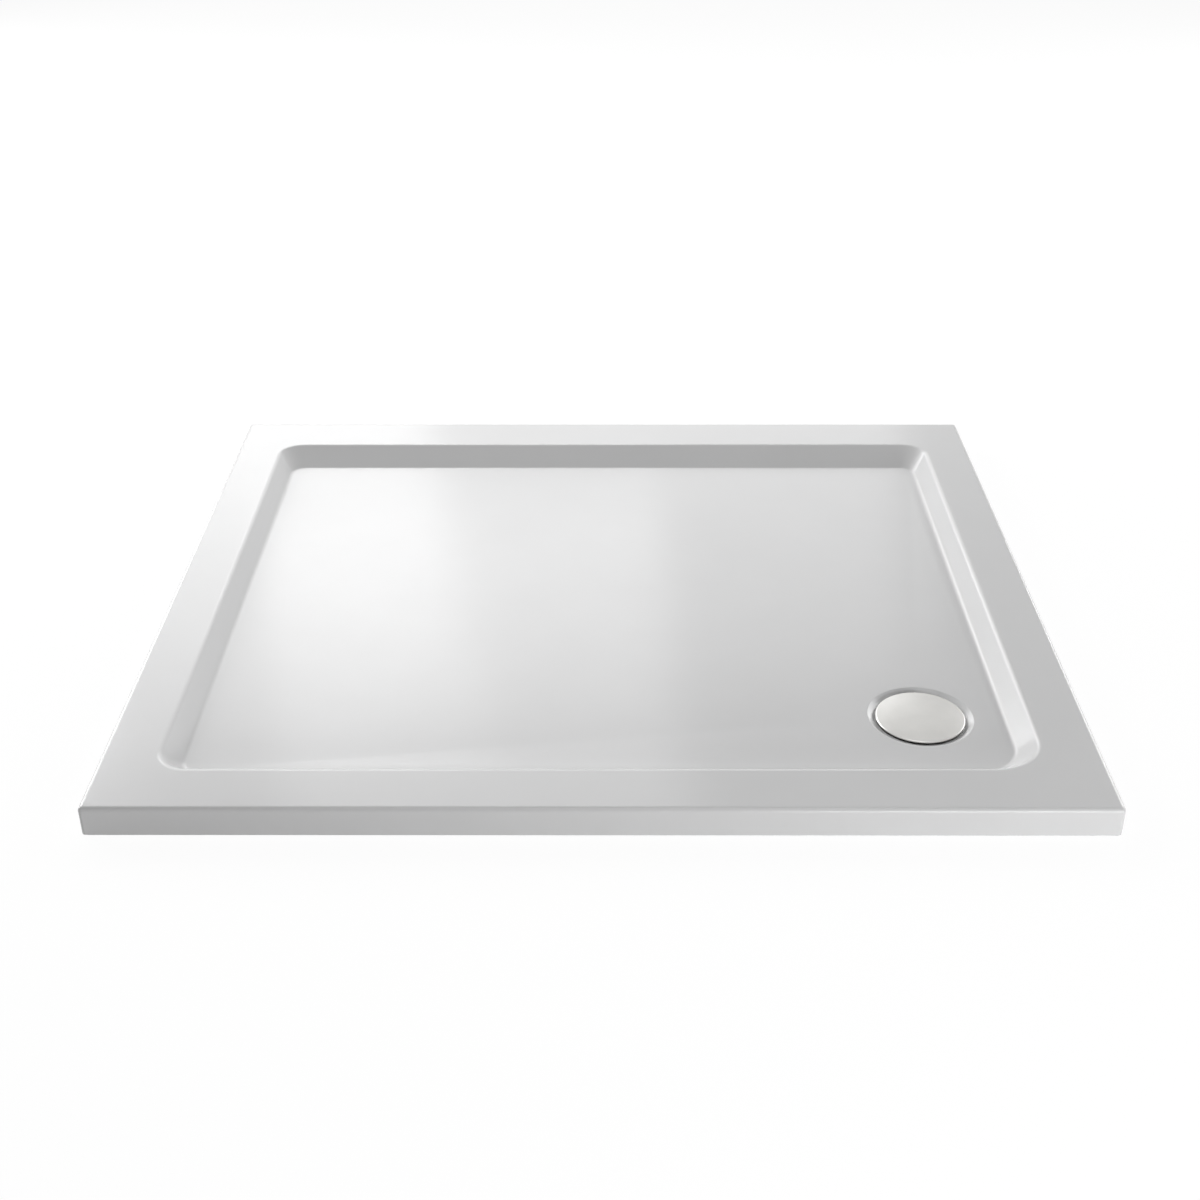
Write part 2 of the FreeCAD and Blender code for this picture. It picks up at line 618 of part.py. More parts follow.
# ---------------------------------------------------------------- strainer and dip tube
def strainer_basket():
    inner = BASKET_RADIUS - BASKET_WALL
    profile = [
        (0, BASKET_BOTTOM),
        (BASKET_RADIUS, BASKET_BOTTOM),
        (BASKET_RADIUS, LIP_TOP),
        (BASKET_RIM_RADIUS, LIP_TOP),
        (BASKET_RIM_RADIUS, BASKET_RIM_TOP),
        (inner, BASKET_RIM_TOP),
        (inner, BASKET_BOTTOM + BASKET_FLOOR),
        (0, BASKET_BOTTOM + BASKET_FLOOR),
    ]
    basket = turned(profile)
    slot_middle = (BASKET_BOTTOM + BASKET_FLOOR + LIP_TOP) / 2
    slot = Part.makeBox(
        BASKET_WALL + 2 * CUT_MARGIN,
        BASKET_SLOT_WIDTH,
        BASKET_SLOT_HEIGHT,
        point(
            inner - CUT_MARGIN, -BASKET_SLOT_WIDTH / 2, slot_middle - BASKET_SLOT_HEIGHT / 2
        ),
    )
    basket = basket.cut(around(slot, BASKET_SLOT_COUNT))
    hole = Part.makeCylinder(
        BASKET_HOLE_RADIUS,
        BASKET_FLOOR + 2 * CUT_MARGIN,
        point(0, 0, BASKET_BOTTOM - CUT_MARGIN),
    )
    basket = basket.cut(hole)
    for number in range(1, BASKET_RING_COUNT + 1):
        hole.translate(point(BASKET_RING_PITCH, 0, 0))
        basket = basket.cut(around(hole, FIRST_RING_HOLE_COUNT * number))
    lug = Part.makeBox(
        LUG_THICKNESS,
        LUG_WIDTH,
        LUG_TOP - LIP_TOP,
        point(inner + LUG_THICKNESS / 2, -LUG_WIDTH / 2, LIP_TOP),
    )
    top_edges = [
        e for e in edges_where(lug, at_level(LUG_TOP))
        if abs(e.Length - LUG_THICKNESS) < SAME_PLACE
    ]
    lug = lug.makeFillet(LUG_ROUND, top_edges)
    return basket.fuse(around(lug, LUG_COUNT, FIRST_LUG_DEGREES)).removeSplitter()


def dip_tube():
    inner = DIP_TUBE_RADIUS - DIP_TUBE_WALL
    groove = DIP_HEAD_RADIUS - RING_GROOVE_DEPTH
    ring_level = LID_TOP - RING_DEPTH
    profile = [
        (inner, DIP_MOUTH_LEVEL),
        (DIP_TUBE_RADIUS, DIP_MOUTH_LEVEL),
        (DIP_TUBE_RADIUS, LID_TOP - DIP_HEAD_LENGTH),
        (DIP_HEAD_RADIUS, LID_TOP - DIP_HEAD_LENGTH + DIP_HEAD_STEP),
        (DIP_HEAD_RADIUS, ring_level - RING_GROOVE_WIDTH / 2),
        (groove, ring_level - RING_GROOVE_WIDTH / 2),
        (groove, ring_level + RING_GROOVE_WIDTH / 2),
        (DIP_HEAD_RADIUS, ring_level + RING_GROOVE_WIDTH / 2),
        (DIP_HEAD_RADIUS, LID_TOP),
        (DIP_LIP_RADIUS, LID_TOP),
        (DIP_LIP_RADIUS, LIP_TOP),
        (inner + DIP_LEAD_IN, LIP_TOP),
        (inner + DIP_LEAD_IN, LIP_TOP - DIP_LEAD_IN_DEPTH),
        (inner, LIP_TOP - DIP_LEAD_IN_DEPTH - DIP_LEAD_IN),
    ]
    return turned(profile)


def dip_tube_o_ring():
    groove = DIP_HEAD_RADIUS - RING_GROOVE_DEPTH
    outside = LID_BORE_RADIUS - RING_GAP
    section = (outside - groove) / 2
    return Part.makeTorus(groove + section, section, point(0, 0, LID_TOP - RING_DEPTH))


# ---------------------------------------------------------------- trap
def trap_lid():
    ring_outside = BOWL_INNER_RADIUS - LID_RING_GAP
    profile = [
        (LID_BORE_RADIUS, LID_TOP),
        (LID_RADIUS, LID_TOP),
        (LID_RADIUS, LID_UNDERSIDE),
        (ring_outside, LID_UNDERSIDE),
        (ring_outside, LID_UNDERSIDE - LID_RING_LENGTH),
        (ring_outside - LID_RING_WALL, LID_UNDERSIDE - LID_RING_LENGTH),
        (ring_outside - LID_RING_WALL, LID_UNDERSIDE),
        (LID_BORE_RADIUS + LID_COLLAR_WALL, LID_UNDERSIDE),
        (LID_BORE_RADIUS + LID_COLLAR_WALL, LID_UNDERSIDE - LID_COLLAR_LENGTH),
        (LID_BORE_RADIUS, LID_UNDERSIDE - LID_COLLAR_LENGTH),
    ]
    lid = turned(profile)
    insert_floor = DISH_UNDERSIDE - INSERT_LENGTH
    boss = Part.makeCylinder(
        BOSS_RADIUS,
        INSERT_LENGTH + BOSS_FLOOR,
        point(SCREW_CIRCLE_RADIUS, 0, insert_floor - BOSS_FLOOR),
    )
    pocket = Part.makeCylinder(
        INSERT_RADIUS, INSERT_LENGTH + CUT_MARGIN, point(SCREW_CIRCLE_RADIUS, 0, insert_floor)
    )
    lid = lid.fuse(around(boss, SCREW_COUNT, FIRST_SCREW_DEGREES))
    lid = lid.cut(around(pocket, SCREW_COUNT, FIRST_SCREW_DEGREES))
    bore = disc(LID_BORE_RADIUS, BOWL_BOTTOM, TRAY_HEIGHT)
    return lid.cut(bore).removeSplitter()


def lying(shape):
    """Turns a shape made about the Z axis so that it runs backwards along the outlet."""
    turned_shape = shape.copy()
    turned_shape.Placement = FreeCAD.Placement(
        point(0, 0, -OUTLET_DEPTH), FreeCAD.Rotation(UP, BACKWARD)
    )
    return turned_shape


def trap_bowl():
    body = disc(LID_RADIUS, BOWL_BOTTOM, LID_UNDERSIDE)
    body = body.makeFillet(
        BOWL_INNER_ROUND + BOWL_WALL, edges_where(body, at_level(BOWL_BOTTOM))
    )
    body = body.fuse(lying(disc(OUTLET_THROAT_RADIUS, 0, SOCKET_START)))
    chamber = disc(BOWL_INNER_RADIUS, BOWL_INNER_FLOOR, LID_UNDERSIDE)
    chamber = chamber.makeFillet(
        BOWL_INNER_ROUND, edges_where(chamber, at_level(BOWL_INNER_FLOOR))
    )
    waterway = lying(disc(OUTLET_WATERWAY_RADIUS, 0, SOCKET_START + CUT_MARGIN))
    return body.cut([chamber, waterway]).removeSplitter()


def socket_outside():
    """The threaded outside of the socket, as (radius, distance from the waste axis)."""
    root = SOCKET_OUTER_RADIUS - THREAD_DEPTH
    profile = [(0, COLLAR_START), (root, COLLAR_START)]
    flank = (THREAD_PITCH - THREAD_CREST - THREAD_ROOT) / 2
    for turn in range(THREAD_TURN_COUNT + 1):
        start = SOCKET_END - THREAD_PITCH * (THREAD_TURN_COUNT + 1 - turn)
        profile.append((root, start))
        profile.append((SOCKET_OUTER_RADIUS, start + flank))
        profile.append((SOCKET_OUTER_RADIUS, start + flank + THREAD_CREST))
        profile.append((root, start + 2 * flank + THREAD_CREST))
    profile.append((root, SOCKET_END))
    profile.append((0, SOCKET_END))
    return profile


def outlet_socket():
    inside = [
        (0, COLLAR_START - CUT_MARGIN),
        (OUTLET_THROAT_RADIUS, COLLAR_START - CUT_MARGIN),
        (OUTLET_THROAT_RADIUS, SOCKET_START),
        (PIPE_SOCKET_RADIUS, SOCKET_START),
        (PIPE_SOCKET_RADIUS, SOCKET_END - SOCKET_MOUTH_BEVEL),
        (PIPE_SOCKET_RADIUS + SOCKET_MOUTH_BEVEL, SOCKET_END),
        (PIPE_SOCKET_RADIUS + SOCKET_MOUTH_BEVEL, SOCKET_END + CUT_MARGIN),
        (0, SOCKET_END + CUT_MARGIN),
    ]
    return lying(turned(socket_outside()).cut(turned(inside)))


def outlet_cone_seal():
    mouth = PIPE_SOCKET_RADIUS + SOCKET_MOUTH_BEVEL
    profile = [
        (PIPE_SOCKET_RADIUS, SOCKET_END - SOCKET_MOUTH_BEVEL),
        (mouth, SOCKET_END),
        (mouth, CONE_SEAL_END),
        (PIPE_SOCKET_RADIUS, CONE_SEAL_END),
    ]
    return lying(turned(profile))


def outlet_slip_ring():
    outer = NUT_BORE_RADIUS - SLIP_RING_GAP
    return lying(ring(SLIP_RING_INNER_RADIUS, outer, CONE_SEAL_END, SLIP_RING_END))


def outlet_nut():
    profile = [
        (NUT_BORE_RADIUS, NUT_START),
        (NUT_RADIUS, NUT_START),
        (NUT_RADIUS, NUT_END - NUT_BEVEL),
        (NUT_RADIUS - NUT_BEVEL, NUT_END),
        (NUT_MOUTH_RADIUS, NUT_END),
        (NUT_MOUTH_RADIUS, SLIP_RING_END),
        (NUT_BORE_RADIUS, SLIP_RING_END),
    ]
    nut = turned(profile)
    rib = Part.makeCylinder(
        NUT_RIB_RADIUS,
        NUT_END - NUT_START - 2 * NUT_BEVEL,
        point(NUT_RADIUS, 0, NUT_START + NUT_BEVEL / 2),
    )
    return lying(nut.fuse(around(rib, NUT_RIB_COUNT)).removeSplitter())


# ---------------------------------------------------------------- nodes
def save(name, shape):
    shape.exportStep("parts/" + name + ".step")


os.makedirs("parts", exist_ok=True)

save("resin_core", resin_core())
save("acrylic_cap", acrylic_cap())

WASTE_PIECES = {
    "waste_cover": waste_cover,
    "cover_carrier": cover_carrier,
    "strainer_basket": strainer_basket,
    "dip_tube": dip_tube,
    "dip_tube_o_ring": dip_tube_o_ring,
    "waste_flange": waste_flange,
    "flange_screws": flange_screws,
    "upper_seal": upper_seal,
    "lower_seal": lower_seal,
    "thread_inserts": thread_inserts,
    "trap_lid": trap_lid,
    "trap_bowl": trap_bowl,
    "outlet_socket": outlet_socket,
    "outlet_cone_seal": outlet_cone_seal,
    "outlet_slip_ring": outlet_slip_ring,
    "outlet_nut": outlet_nut,
}
for name, make in WASTE_PIECES.items():
    piece = make()
    piece.translate(WASTE_AXIS)
    save(name, piece)
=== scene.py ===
import math

import bmesh
import bpy
from mathutils import Matrix, Vector


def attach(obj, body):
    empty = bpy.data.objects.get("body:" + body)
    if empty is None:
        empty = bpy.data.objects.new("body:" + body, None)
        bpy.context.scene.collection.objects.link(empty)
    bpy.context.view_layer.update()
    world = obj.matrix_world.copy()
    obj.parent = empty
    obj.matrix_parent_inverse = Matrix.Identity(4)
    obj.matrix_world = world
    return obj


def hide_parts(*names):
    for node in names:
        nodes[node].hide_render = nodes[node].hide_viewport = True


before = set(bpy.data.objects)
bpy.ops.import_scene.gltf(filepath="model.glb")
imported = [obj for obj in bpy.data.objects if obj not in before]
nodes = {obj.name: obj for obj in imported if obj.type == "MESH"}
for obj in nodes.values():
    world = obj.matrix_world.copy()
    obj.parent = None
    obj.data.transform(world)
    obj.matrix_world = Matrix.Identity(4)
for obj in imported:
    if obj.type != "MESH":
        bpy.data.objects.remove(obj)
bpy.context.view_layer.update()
scene = bpy.context.scene
scene.view_settings.view_transform = "Standard"

# ---------------------------------------------------------------- camera
# A 50 mm lens on a 36 mm wide square frame, a little under 1 m above the floor and
# 1.7 m in front of the tray's middle, looking down 30 degrees.
CAMERA_PLACE = Vector((0.0034, -1.7234, 0.9945))
CAMERA_PITCH = math.radians(29.94)
CAMERA_YAW = -0.0035
CAMERA_ROLL = -0.0015

camera_data = bpy.data.cameras.new("camera")
camera_data.lens = 50.0
camera_data.sensor_width = 36.0
camera = bpy.data.objects.new("camera", camera_data)
scene.collection.objects.link(camera)
scene.camera = camera

forward = Vector((
    math.sin(CAMERA_YAW) * math.cos(CAMERA_PITCH),
    math.cos(CAMERA_YAW) * math.cos(CAMERA_PITCH),
    -math.sin(CAMERA_PITCH),
))
level_right = Vector((math.cos(CAMERA_YAW), -math.sin(CAMERA_YAW), 0.0))
level_up = level_right.cross(forward)
camera_right = math.cos(CAMERA_ROLL) * level_right + math.sin(CAMERA_ROLL) * level_up
camera_up = math.cos(CAMERA_ROLL) * level_up - math.sin(CAMERA_ROLL) * level_right
turn = Matrix((camera_right, camera_up, -forward)).transposed()
camera.matrix_world = Matrix.Translation(CAMERA_PLACE) @ turn.to_4x4()


# ---------------------------------------------------------------- studio
# A plain white floor with a pocket under the tray, where the trap hangs, a white surround, and
# soft lamps: most of them behind the tray, one low in front and one below for the underside.
FLOOR_HALF = 12.0
FLOOR_LEVEL = -0.0002
POCKET_HALF_WIDTH = 0.497
POCKET_HALF_DEPTH = 0.447
FLOOR_WHITE = 1.05  # how bright the floor is by itself, where it is seen
FLOOR_WHITE_SHARE = 0.9  # the rest of its look is lit, so the object's shadow shows
SURROUND_LIGHT = 0.01  # what the surround adds to the light on the object


def mesh_object(name, vertices, faces, material=None, smooth=True):
    """A new object at the origin, with its place in its mesh."""
    mesh = bpy.data.meshes.new(name)
    mesh.from_pydata([tuple(v) for v in vertices], [], faces)
    mesh.update()
    if smooth:
        mesh.shade_smooth()
    piece = bpy.data.objects.new(name, mesh)
    scene.collection.objects.link(piece)
    if material:
        mesh.materials.append(material)
    return piece


def new_material(name):
    """A new material, its node tree and its main shader."""
    material = bpy.data.materials.new(name)
    material.use_nodes = True
    tree = material.node_tree
    shader = tree.nodes["Principled BSDF"]
    return material, tree, shader


def seen_directly(tree):
    """1 for a ray from the camera, a reflection or a clear piece, and 0 for other light."""
    light_path = tree.nodes.new("ShaderNodeLightPath")
    seen = light_path.outputs["Is Camera Ray"]
    for kind in ("Is Glossy Ray", "Is Transmission Ray"):
        either = tree.nodes.new("ShaderNodeMath")
        either.operation = "ADD"
        either.use_clamp = True
        tree.links.new(seen, either.inputs[0])
        tree.links.new(light_path.outputs[kind], either.inputs[1])
        seen = either.outputs[0]
    return seen


def floor_corners(half_width, half_depth):
    """The corners of a rectangle in the floor, in order from the front left."""
    return [
        (-half_width, -half_depth, FLOOR_LEVEL),
        (half_width, -half_depth, FLOOR_LEVEL),
        (half_width, half_depth, FLOOR_LEVEL),
        (-half_width, half_depth, FLOOR_LEVEL),
    ]


floor_material, tree, shader = new_material("studio_floor")
shader.inputs["Base Color"].default_value = (0.9, 0.9, 0.9, 1.0)
shader.inputs["Roughness"].default_value = 0.9
shader.inputs["Specular IOR Level"].default_value = 0.0
share = tree.nodes.new("ShaderNodeMath")
share.operation = "MULTIPLY"
share.inputs[1].default_value = FLOOR_WHITE_SHARE
tree.links.new(seen_directly(tree), share.inputs[0])
white = tree.nodes.new("ShaderNodeEmission")
white.inputs["Color"].default_value = (1.0, 1.0, 1.0, 1.0)
white.inputs["Strength"].default_value = FLOOR_WHITE
lit_floor = tree.nodes.new("ShaderNodeMixShader")
tree.links.new(share.outputs[0], lit_floor.inputs[0])
tree.links.new(shader.outputs[0], lit_floor.inputs[1])
tree.links.new(white.outputs[0], lit_floor.inputs[2])
from_below = tree.nodes.new("ShaderNodeNewGeometry")
clear = tree.nodes.new("ShaderNodeBsdfTransparent")
one_sided = tree.nodes.new("ShaderNodeMixShader")
tree.links.new(from_below.outputs["Backfacing"], one_sided.inputs[0])
tree.links.new(lit_floor.outputs[0], one_sided.inputs[1])
tree.links.new(clear.outputs[0], one_sided.inputs[2])
tree.links.new(one_sided.outputs[0], tree.nodes["Material Output"].inputs["Surface"])

floor = mesh_object(
    "studio_floor",
    floor_corners(FLOOR_HALF, FLOOR_HALF) + floor_corners(POCKET_HALF_WIDTH, POCKET_HALF_DEPTH),
    [(i, (i + 1) % 4, (i + 1) % 4 + 4, i + 4) for i in range(4)],
    floor_material,
    smooth=False,
)

world = bpy.data.worlds.new("studio_world")
scene.world = world
world.use_nodes = True
sky = world.node_tree
plain = sky.nodes["Background"]
plain.inputs["Color"].default_value = (1.0, 1.0, 1.0, 1.0)
plain.inputs["Strength"].default_value = SURROUND_LIGHT
backdrop = sky.nodes.new("ShaderNodeBackground")
backdrop.inputs["Color"].default_value = (1.0, 1.0, 1.0, 1.0)
backdrop.inputs["Strength"].default_value = 1.0
sky_mix = sky.nodes.new("ShaderNodeMixShader")
sky.links.new(seen_directly(sky), sky_mix.inputs[0])
sky.links.new(plain.outputs[0], sky_mix.inputs[1])
sky.links.new(backdrop.outputs[0], sky_mix.inputs[2])
sky.links.new(sky_mix.outputs[0], sky.nodes["World Output"].inputs["Surface"])


def soft_lamp(name, bearing, rise, distance, width, height, watts):
    """A rectangular soft box that faces the tray's middle. Bearing and rise are in degrees."""
    lamp_data = bpy.data.lights.new(name, "AREA")
    lamp_data.shape = "RECTANGLE"
    lamp_data.size = width
    lamp_data.size_y = height
    lamp_data.energy = watts
    lamp = bpy.data.objects.new(name, lamp_data)
    level = distance * math.cos(math.radians(rise))
    lamp.location = (
        level * math.cos(math.radians(bearing)),
        level * math.sin(math.radians(bearing)),
        distance * math.sin(math.radians(rise)),
    )
    lamp.rotation_euler = (-lamp.location).to_track_quat("-Z", "Y").to_euler()
    scene.collection.objects.link(lamp)


soft_lamp("lamp_back_left_low", 144.0, 19.0, 3.6, 2.8, 2.2, 91.0)
soft_lamp("lamp_back_right_low", 37.0, 18.0, 3.6, 2.2, 2.0, 51.0)
soft_lamp("lamp_back_left_wide", 116.0, 28.0, 3.2, 1.7, 1.2, 10.5)
soft_lamp("lamp_back_wide", 95.0, 26.0, 3.2, 2.4, 1.1, 9.5)
soft_lamp("lamp_back", 100.0, 37.0, 2.2, 1.0, 1.0, 4.8)
soft_lamp("lamp_above_front", 270.0, 72.0, 3.6, 1.8, 1.8, 20.0)
soft_lamp("lamp_front_right_low", 298.0, 6.0, 1.8, 1.2, 0.34, 10.5)
soft_lamp("lamp_below", 250.0, -40.0, 2.2, 1.6, 1.6, 30.0)


# ---------------------------------------------------------------- acrylic cap
# The white skin of the tray: one sheet of acrylic, heated, drawn over a mould and trimmed,
# so every edge is rounded. The stone-resin core is cast into the back of it.
TRAY_WIDTH = 1.0
TRAY_DEPTH = 0.9
TRAY_HEIGHT = 0.0315
SKIRT_BOTTOM = 0.0005
SKIN = 0.0015
OUTER_CORNER = 0.005
RIM_EDGE_ROUND = 0.0048
RIM_SIDE, RIM_FRONT, RIM_BACK = 0.0585, 0.066, 0.0715
RIM_CORNER = 0.031
WASTE_RIM_CORNER = 0.055
RIM_INNER_ROUND = 0.009
DROP = 0.019
SIDE_RUN, FRONT_RUN, BACK_RUN = 0.019, 0.019, 0.035
FOOT_CORNER = 0.018
WASTE_FOOT_CORNER = 0.043
FOOT_ROUND = 0.008
STRIP = 0.006
FLOOR_FALL = 0.0015
WASTE = Vector((0.336, -0.2605, 0.0))
RECESS_TOP = 0.0555
RECESS_FOOT = 0.0485
RECESS_DEPTH = 0.0043
RECESS_LIP_ROUND = 0.0022
REBATE = 0.0473
REBATE_DEPTH = 0.001
SEAL_REBATE = 0.0442
SEAL_REBATE_DEPTH = 0.0012
WASTE_HOLE = 0.034
CORNER_STEPS = 24

RIM = (RIM_SIDE, RIM_FRONT, RIM_BACK)
RUN = (SIDE_RUN, FRONT_RUN, BACK_RUN)
SLOPE = [math.atan2(DROP, run) for run in RUN]

# Each straight side has its own number of points, closer together near the waste.
STRAIGHT_SHARE = 0.8
POINT_TURN = math.radians(3.0)
FEWEST_POINTS = 10
FOOT_SIDE, FOOT_FRONT, FOOT_BACK = 0.085, 0.09, 0.11
half_width, half_depth = TRAY_WIDTH / 2, TRAY_DEPTH / 2
side_shares = []
for start, end, line, along_y in (
    (-half_depth, half_depth, half_width - FOOT_SIDE, True),
    (half_width, -half_width, half_depth - FOOT_BACK, False),
    (half_depth, -half_depth, FOOT_SIDE - half_width, True),
    (-half_width, half_width, FOOT_FRONT - half_depth, False),
):
    centre, beside = (WASTE.y, WASTE.x) if along_y else (WASTE.x, WASTE.y)
    distance = abs(line - beside)
    start, end = start * STRAIGHT_SHARE, end * STRAIGHT_SHARE
    first = math.atan2(start - centre, distance)
    last = math.atan2(end - centre, distance)
    count = max(FEWEST_POINTS, int(abs(last - first) / POINT_TURN))
    places = [
        centre + distance * math.tan(first + (last - first) * k / count) for k in range(1, count)
    ]
    side_shares.append([(place - start) / (end - start) for place in places])


def outline(insets, levels, radius, waste_radius=None):
    """A rounded rectangle set in from the outer faces by (side, front, back), each side at its
    own level. The corner beside the waste has a radius of its own."""
    waste_radius = radius if waste_radius is None else waste_radius
    side, front, back = insets
    z_side, z_front, z_back = levels
    left, right = side - half_width, half_width - side
    low, high = front - half_depth, half_depth - back
    corners = (
        (right - waste_radius, low + waste_radius, waste_radius, -90.0, z_front, z_side),
        (right - radius, high - radius, radius, 0.0, z_side, z_back),
        (left + radius, high - radius, radius, 90.0, z_back, z_side),
        (left + radius, low + radius, radius, 180.0, z_side, z_front),
    )
    arcs = []
    for x, y, turn_radius, start, z_first, z_last in corners:
        arc = []
        for k in range(CORNER_STEPS + 1):
            share = k / CORNER_STEPS
            angle = math.radians(start + 90.0 * share)
            ease = share * share * (3.0 - 2.0 * share)
            arc.append(Vector((
                x + turn_radius * math.cos(angle),
                y + turn_radius * math.sin(angle),
                z_first + (z_last - z_first) * ease,
            )))
        arcs.append(arc)
    points = []
    for k in range(4):
        points += arcs[k]
        start, end = arcs[k][-1], arcs[(k + 1) % 4][0]
        points += [start.lerp(end, share) for share in side_shares[k]]
    return points


def same(value):
    """One value for the sides, the front and the back."""
    return (value, value, value)


# The skirt, the rounded outer edge and the start of the rim.
EDGE_STEPS, WALL_STEPS, FOOT_STEPS, FALL_STEPS, LIP_STEPS = 12, 12, 10, 16, 6
HOLD = 0.0004  # a loop this near to a round keeps the flat beside it flat
REBATE_BEVEL = 0.0001
loops = [
    outline(same(0.0), same(SKIRT_BOTTOM), OUTER_CORNER),
    outline(same(0.0), same(SKIRT_BOTTOM + HOLD), OUTER_CORNER),
    outline(same(0.0), same(TRAY_HEIGHT - RIM_EDGE_ROUND - HOLD), OUTER_CORNER),
]
for k in range(EDGE_STEPS + 1):
    angle = math.radians(90.0 * k / EDGE_STEPS)
    inset = RIM_EDGE_ROUND * (1.0 - math.cos(angle))
    level = TRAY_HEIGHT - RIM_EDGE_ROUND * (1.0 - math.sin(angle))
    loops.append(outline(same(inset), same(level), OUTER_CORNER - inset))
inset = RIM_EDGE_ROUND + 2 * HOLD
loops.append(outline(same(inset), same(TRAY_HEIGHT), OUTER_CORNER - RIM_EDGE_ROUND + 2 * HOLD))

# The flat of the rim and the round at the top of the walls.
tangent = [RIM_INNER_ROUND * math.tan(slope / 2.0) for slope in SLOPE]
for share in (0.35, 0.7):
    insets = [RIM_EDGE_ROUND + (rim - RIM_EDGE_ROUND) * share for rim in RIM]
    usual = OUTER_CORNER + (RIM_CORNER - OUTER_CORNER) * share
    by_waste = OUTER_CORNER + (WASTE_RIM_CORNER - OUTER_CORNER) * share
    loops.append(outline(insets, same(TRAY_HEIGHT), usual, by_waste))
insets = [rim - reach - 3 * HOLD for rim, reach in zip(RIM, tangent)]
rounder = WASTE_RIM_CORNER - RIM_CORNER
corner_taper = (RIM_CORNER - FOOT_CORNER) / SIDE_RUN
radius = RIM_CORNER + tangent[0] + 3 * HOLD
loops.append(outline(insets, same(TRAY_HEIGHT), radius, radius + rounder))
for k in range(WALL_STEPS + 1):
    turned = [slope * k / WALL_STEPS for slope in SLOPE]
    across = [RIM_INNER_ROUND * math.sin(angle) - reach for angle, reach in zip(turned, tangent)]
    insets = [rim + step for rim, step in zip(RIM, across)]
    levels = [TRAY_HEIGHT - RIM_INNER_ROUND * (1.0 - math.cos(angle)) for angle in turned]
    radius = RIM_CORNER - across[0] * (1.0 if across[0] < 0.0 else corner_taper)
    loops.append(outline(insets, levels, radius, radius + rounder))

# The slope of the walls and the round at their foot.
foot_reach = [FOOT_ROUND * math.tan(slope / 2.0) for slope in SLOPE]
top_share = [reach * math.cos(slope) / run for reach, slope, run in zip(tangent, SLOPE, RUN)]
foot_share = [
    1.0 - reach * math.cos(slope) / run for reach, slope, run in zip(foot_reach, SLOPE, RUN)
]
for k in (0.06, 0.3, 0.5, 0.7, 0.94):
    share = [top + (foot - top) * k for top, foot in zip(top_share, foot_share)]
    insets = [rim + run * s for rim, run, s in zip(RIM, RUN, share)]
    levels = [TRAY_HEIGHT - DROP * s for s in share]
    radius = RIM_CORNER + (FOOT_CORNER - RIM_CORNER) * share[0]
    by_waste = WASTE_RIM_CORNER + (WASTE_FOOT_CORNER - WASTE_RIM_CORNER) * share[0]
    loops.append(outline(insets, levels, radius, by_waste))
for k in range(FOOT_STEPS + 1):
    turned = [slope * (1.0 - k / FOOT_STEPS) for slope in SLOPE]
    across = [reach - FOOT_ROUND * math.sin(angle) for angle, reach in zip(turned, foot_reach)]
    insets = [rim + run + step for rim, run, step in zip(RIM, RUN, across)]
    levels = [TRAY_HEIGHT - DROP + FOOT_ROUND * (1.0 - math.cos(angle)) for angle in turned]
    radius = FOOT_CORNER - across[0] * (corner_taper if across[0] < 0.0 else 0.5)
    loops.append(outline(insets, levels, radius, radius + WASTE_FOOT_CORNER - FOOT_CORNER))

# The level strip round the floor, and the floor's fall from there to the lip of the recess. The
# fall eases in over the first sixth of the way and is even after that.
EASE_SHARE = 1.0 / 6.0
LOOP_CROWDING = 1.15  # above 1, the loops lie closer together near the strip
edge_level = TRAY_HEIGHT - DROP
recess_level = edge_level - FLOOR_FALL
strip_insets = [rim + run + STRIP for rim, run in zip(RIM, RUN)]
strip_edge = outline(
    strip_insets, same(edge_level), FOOT_CORNER - STRIP / 2, WASTE_FOOT_CORNER - STRIP / 2
)
loops.append(strip_edge)

recess_slope = math.atan2(RECESS_DEPTH, RECESS_TOP - RECESS_FOOT)
lip_reach = RECESS_LIP_ROUND * math.tan(recess_slope / 2.0)
bearings = [math.atan2(p.y - WASTE.y, p.x - WASTE.x) for p in strip_edge]


def circle(radius, level):
    """Points round the waste axis, one for each point of the outline of the floor."""
    return [
        Vector((WASTE.x + radius * math.cos(b), WASTE.y + radius * math.sin(b), level))
        for b in bearings
    ]


lip_start = circle(RECESS_TOP + lip_reach, recess_level)
for k in range(1, FALL_STEPS):
    share = (k / FALL_STEPS) ** LOOP_CROWDING
    eased = share * share * (1.5 - 0.5 * share)
    fall = eased + (share - eased) * min(1.0, share / EASE_SHARE)
    ring = []
    for far, near in zip(strip_edge, lip_start):
        spot = far.lerp(near, share)
        spot.z = edge_level - FLOOR_FALL * fall
        ring.append(spot)
    loops.append(ring)

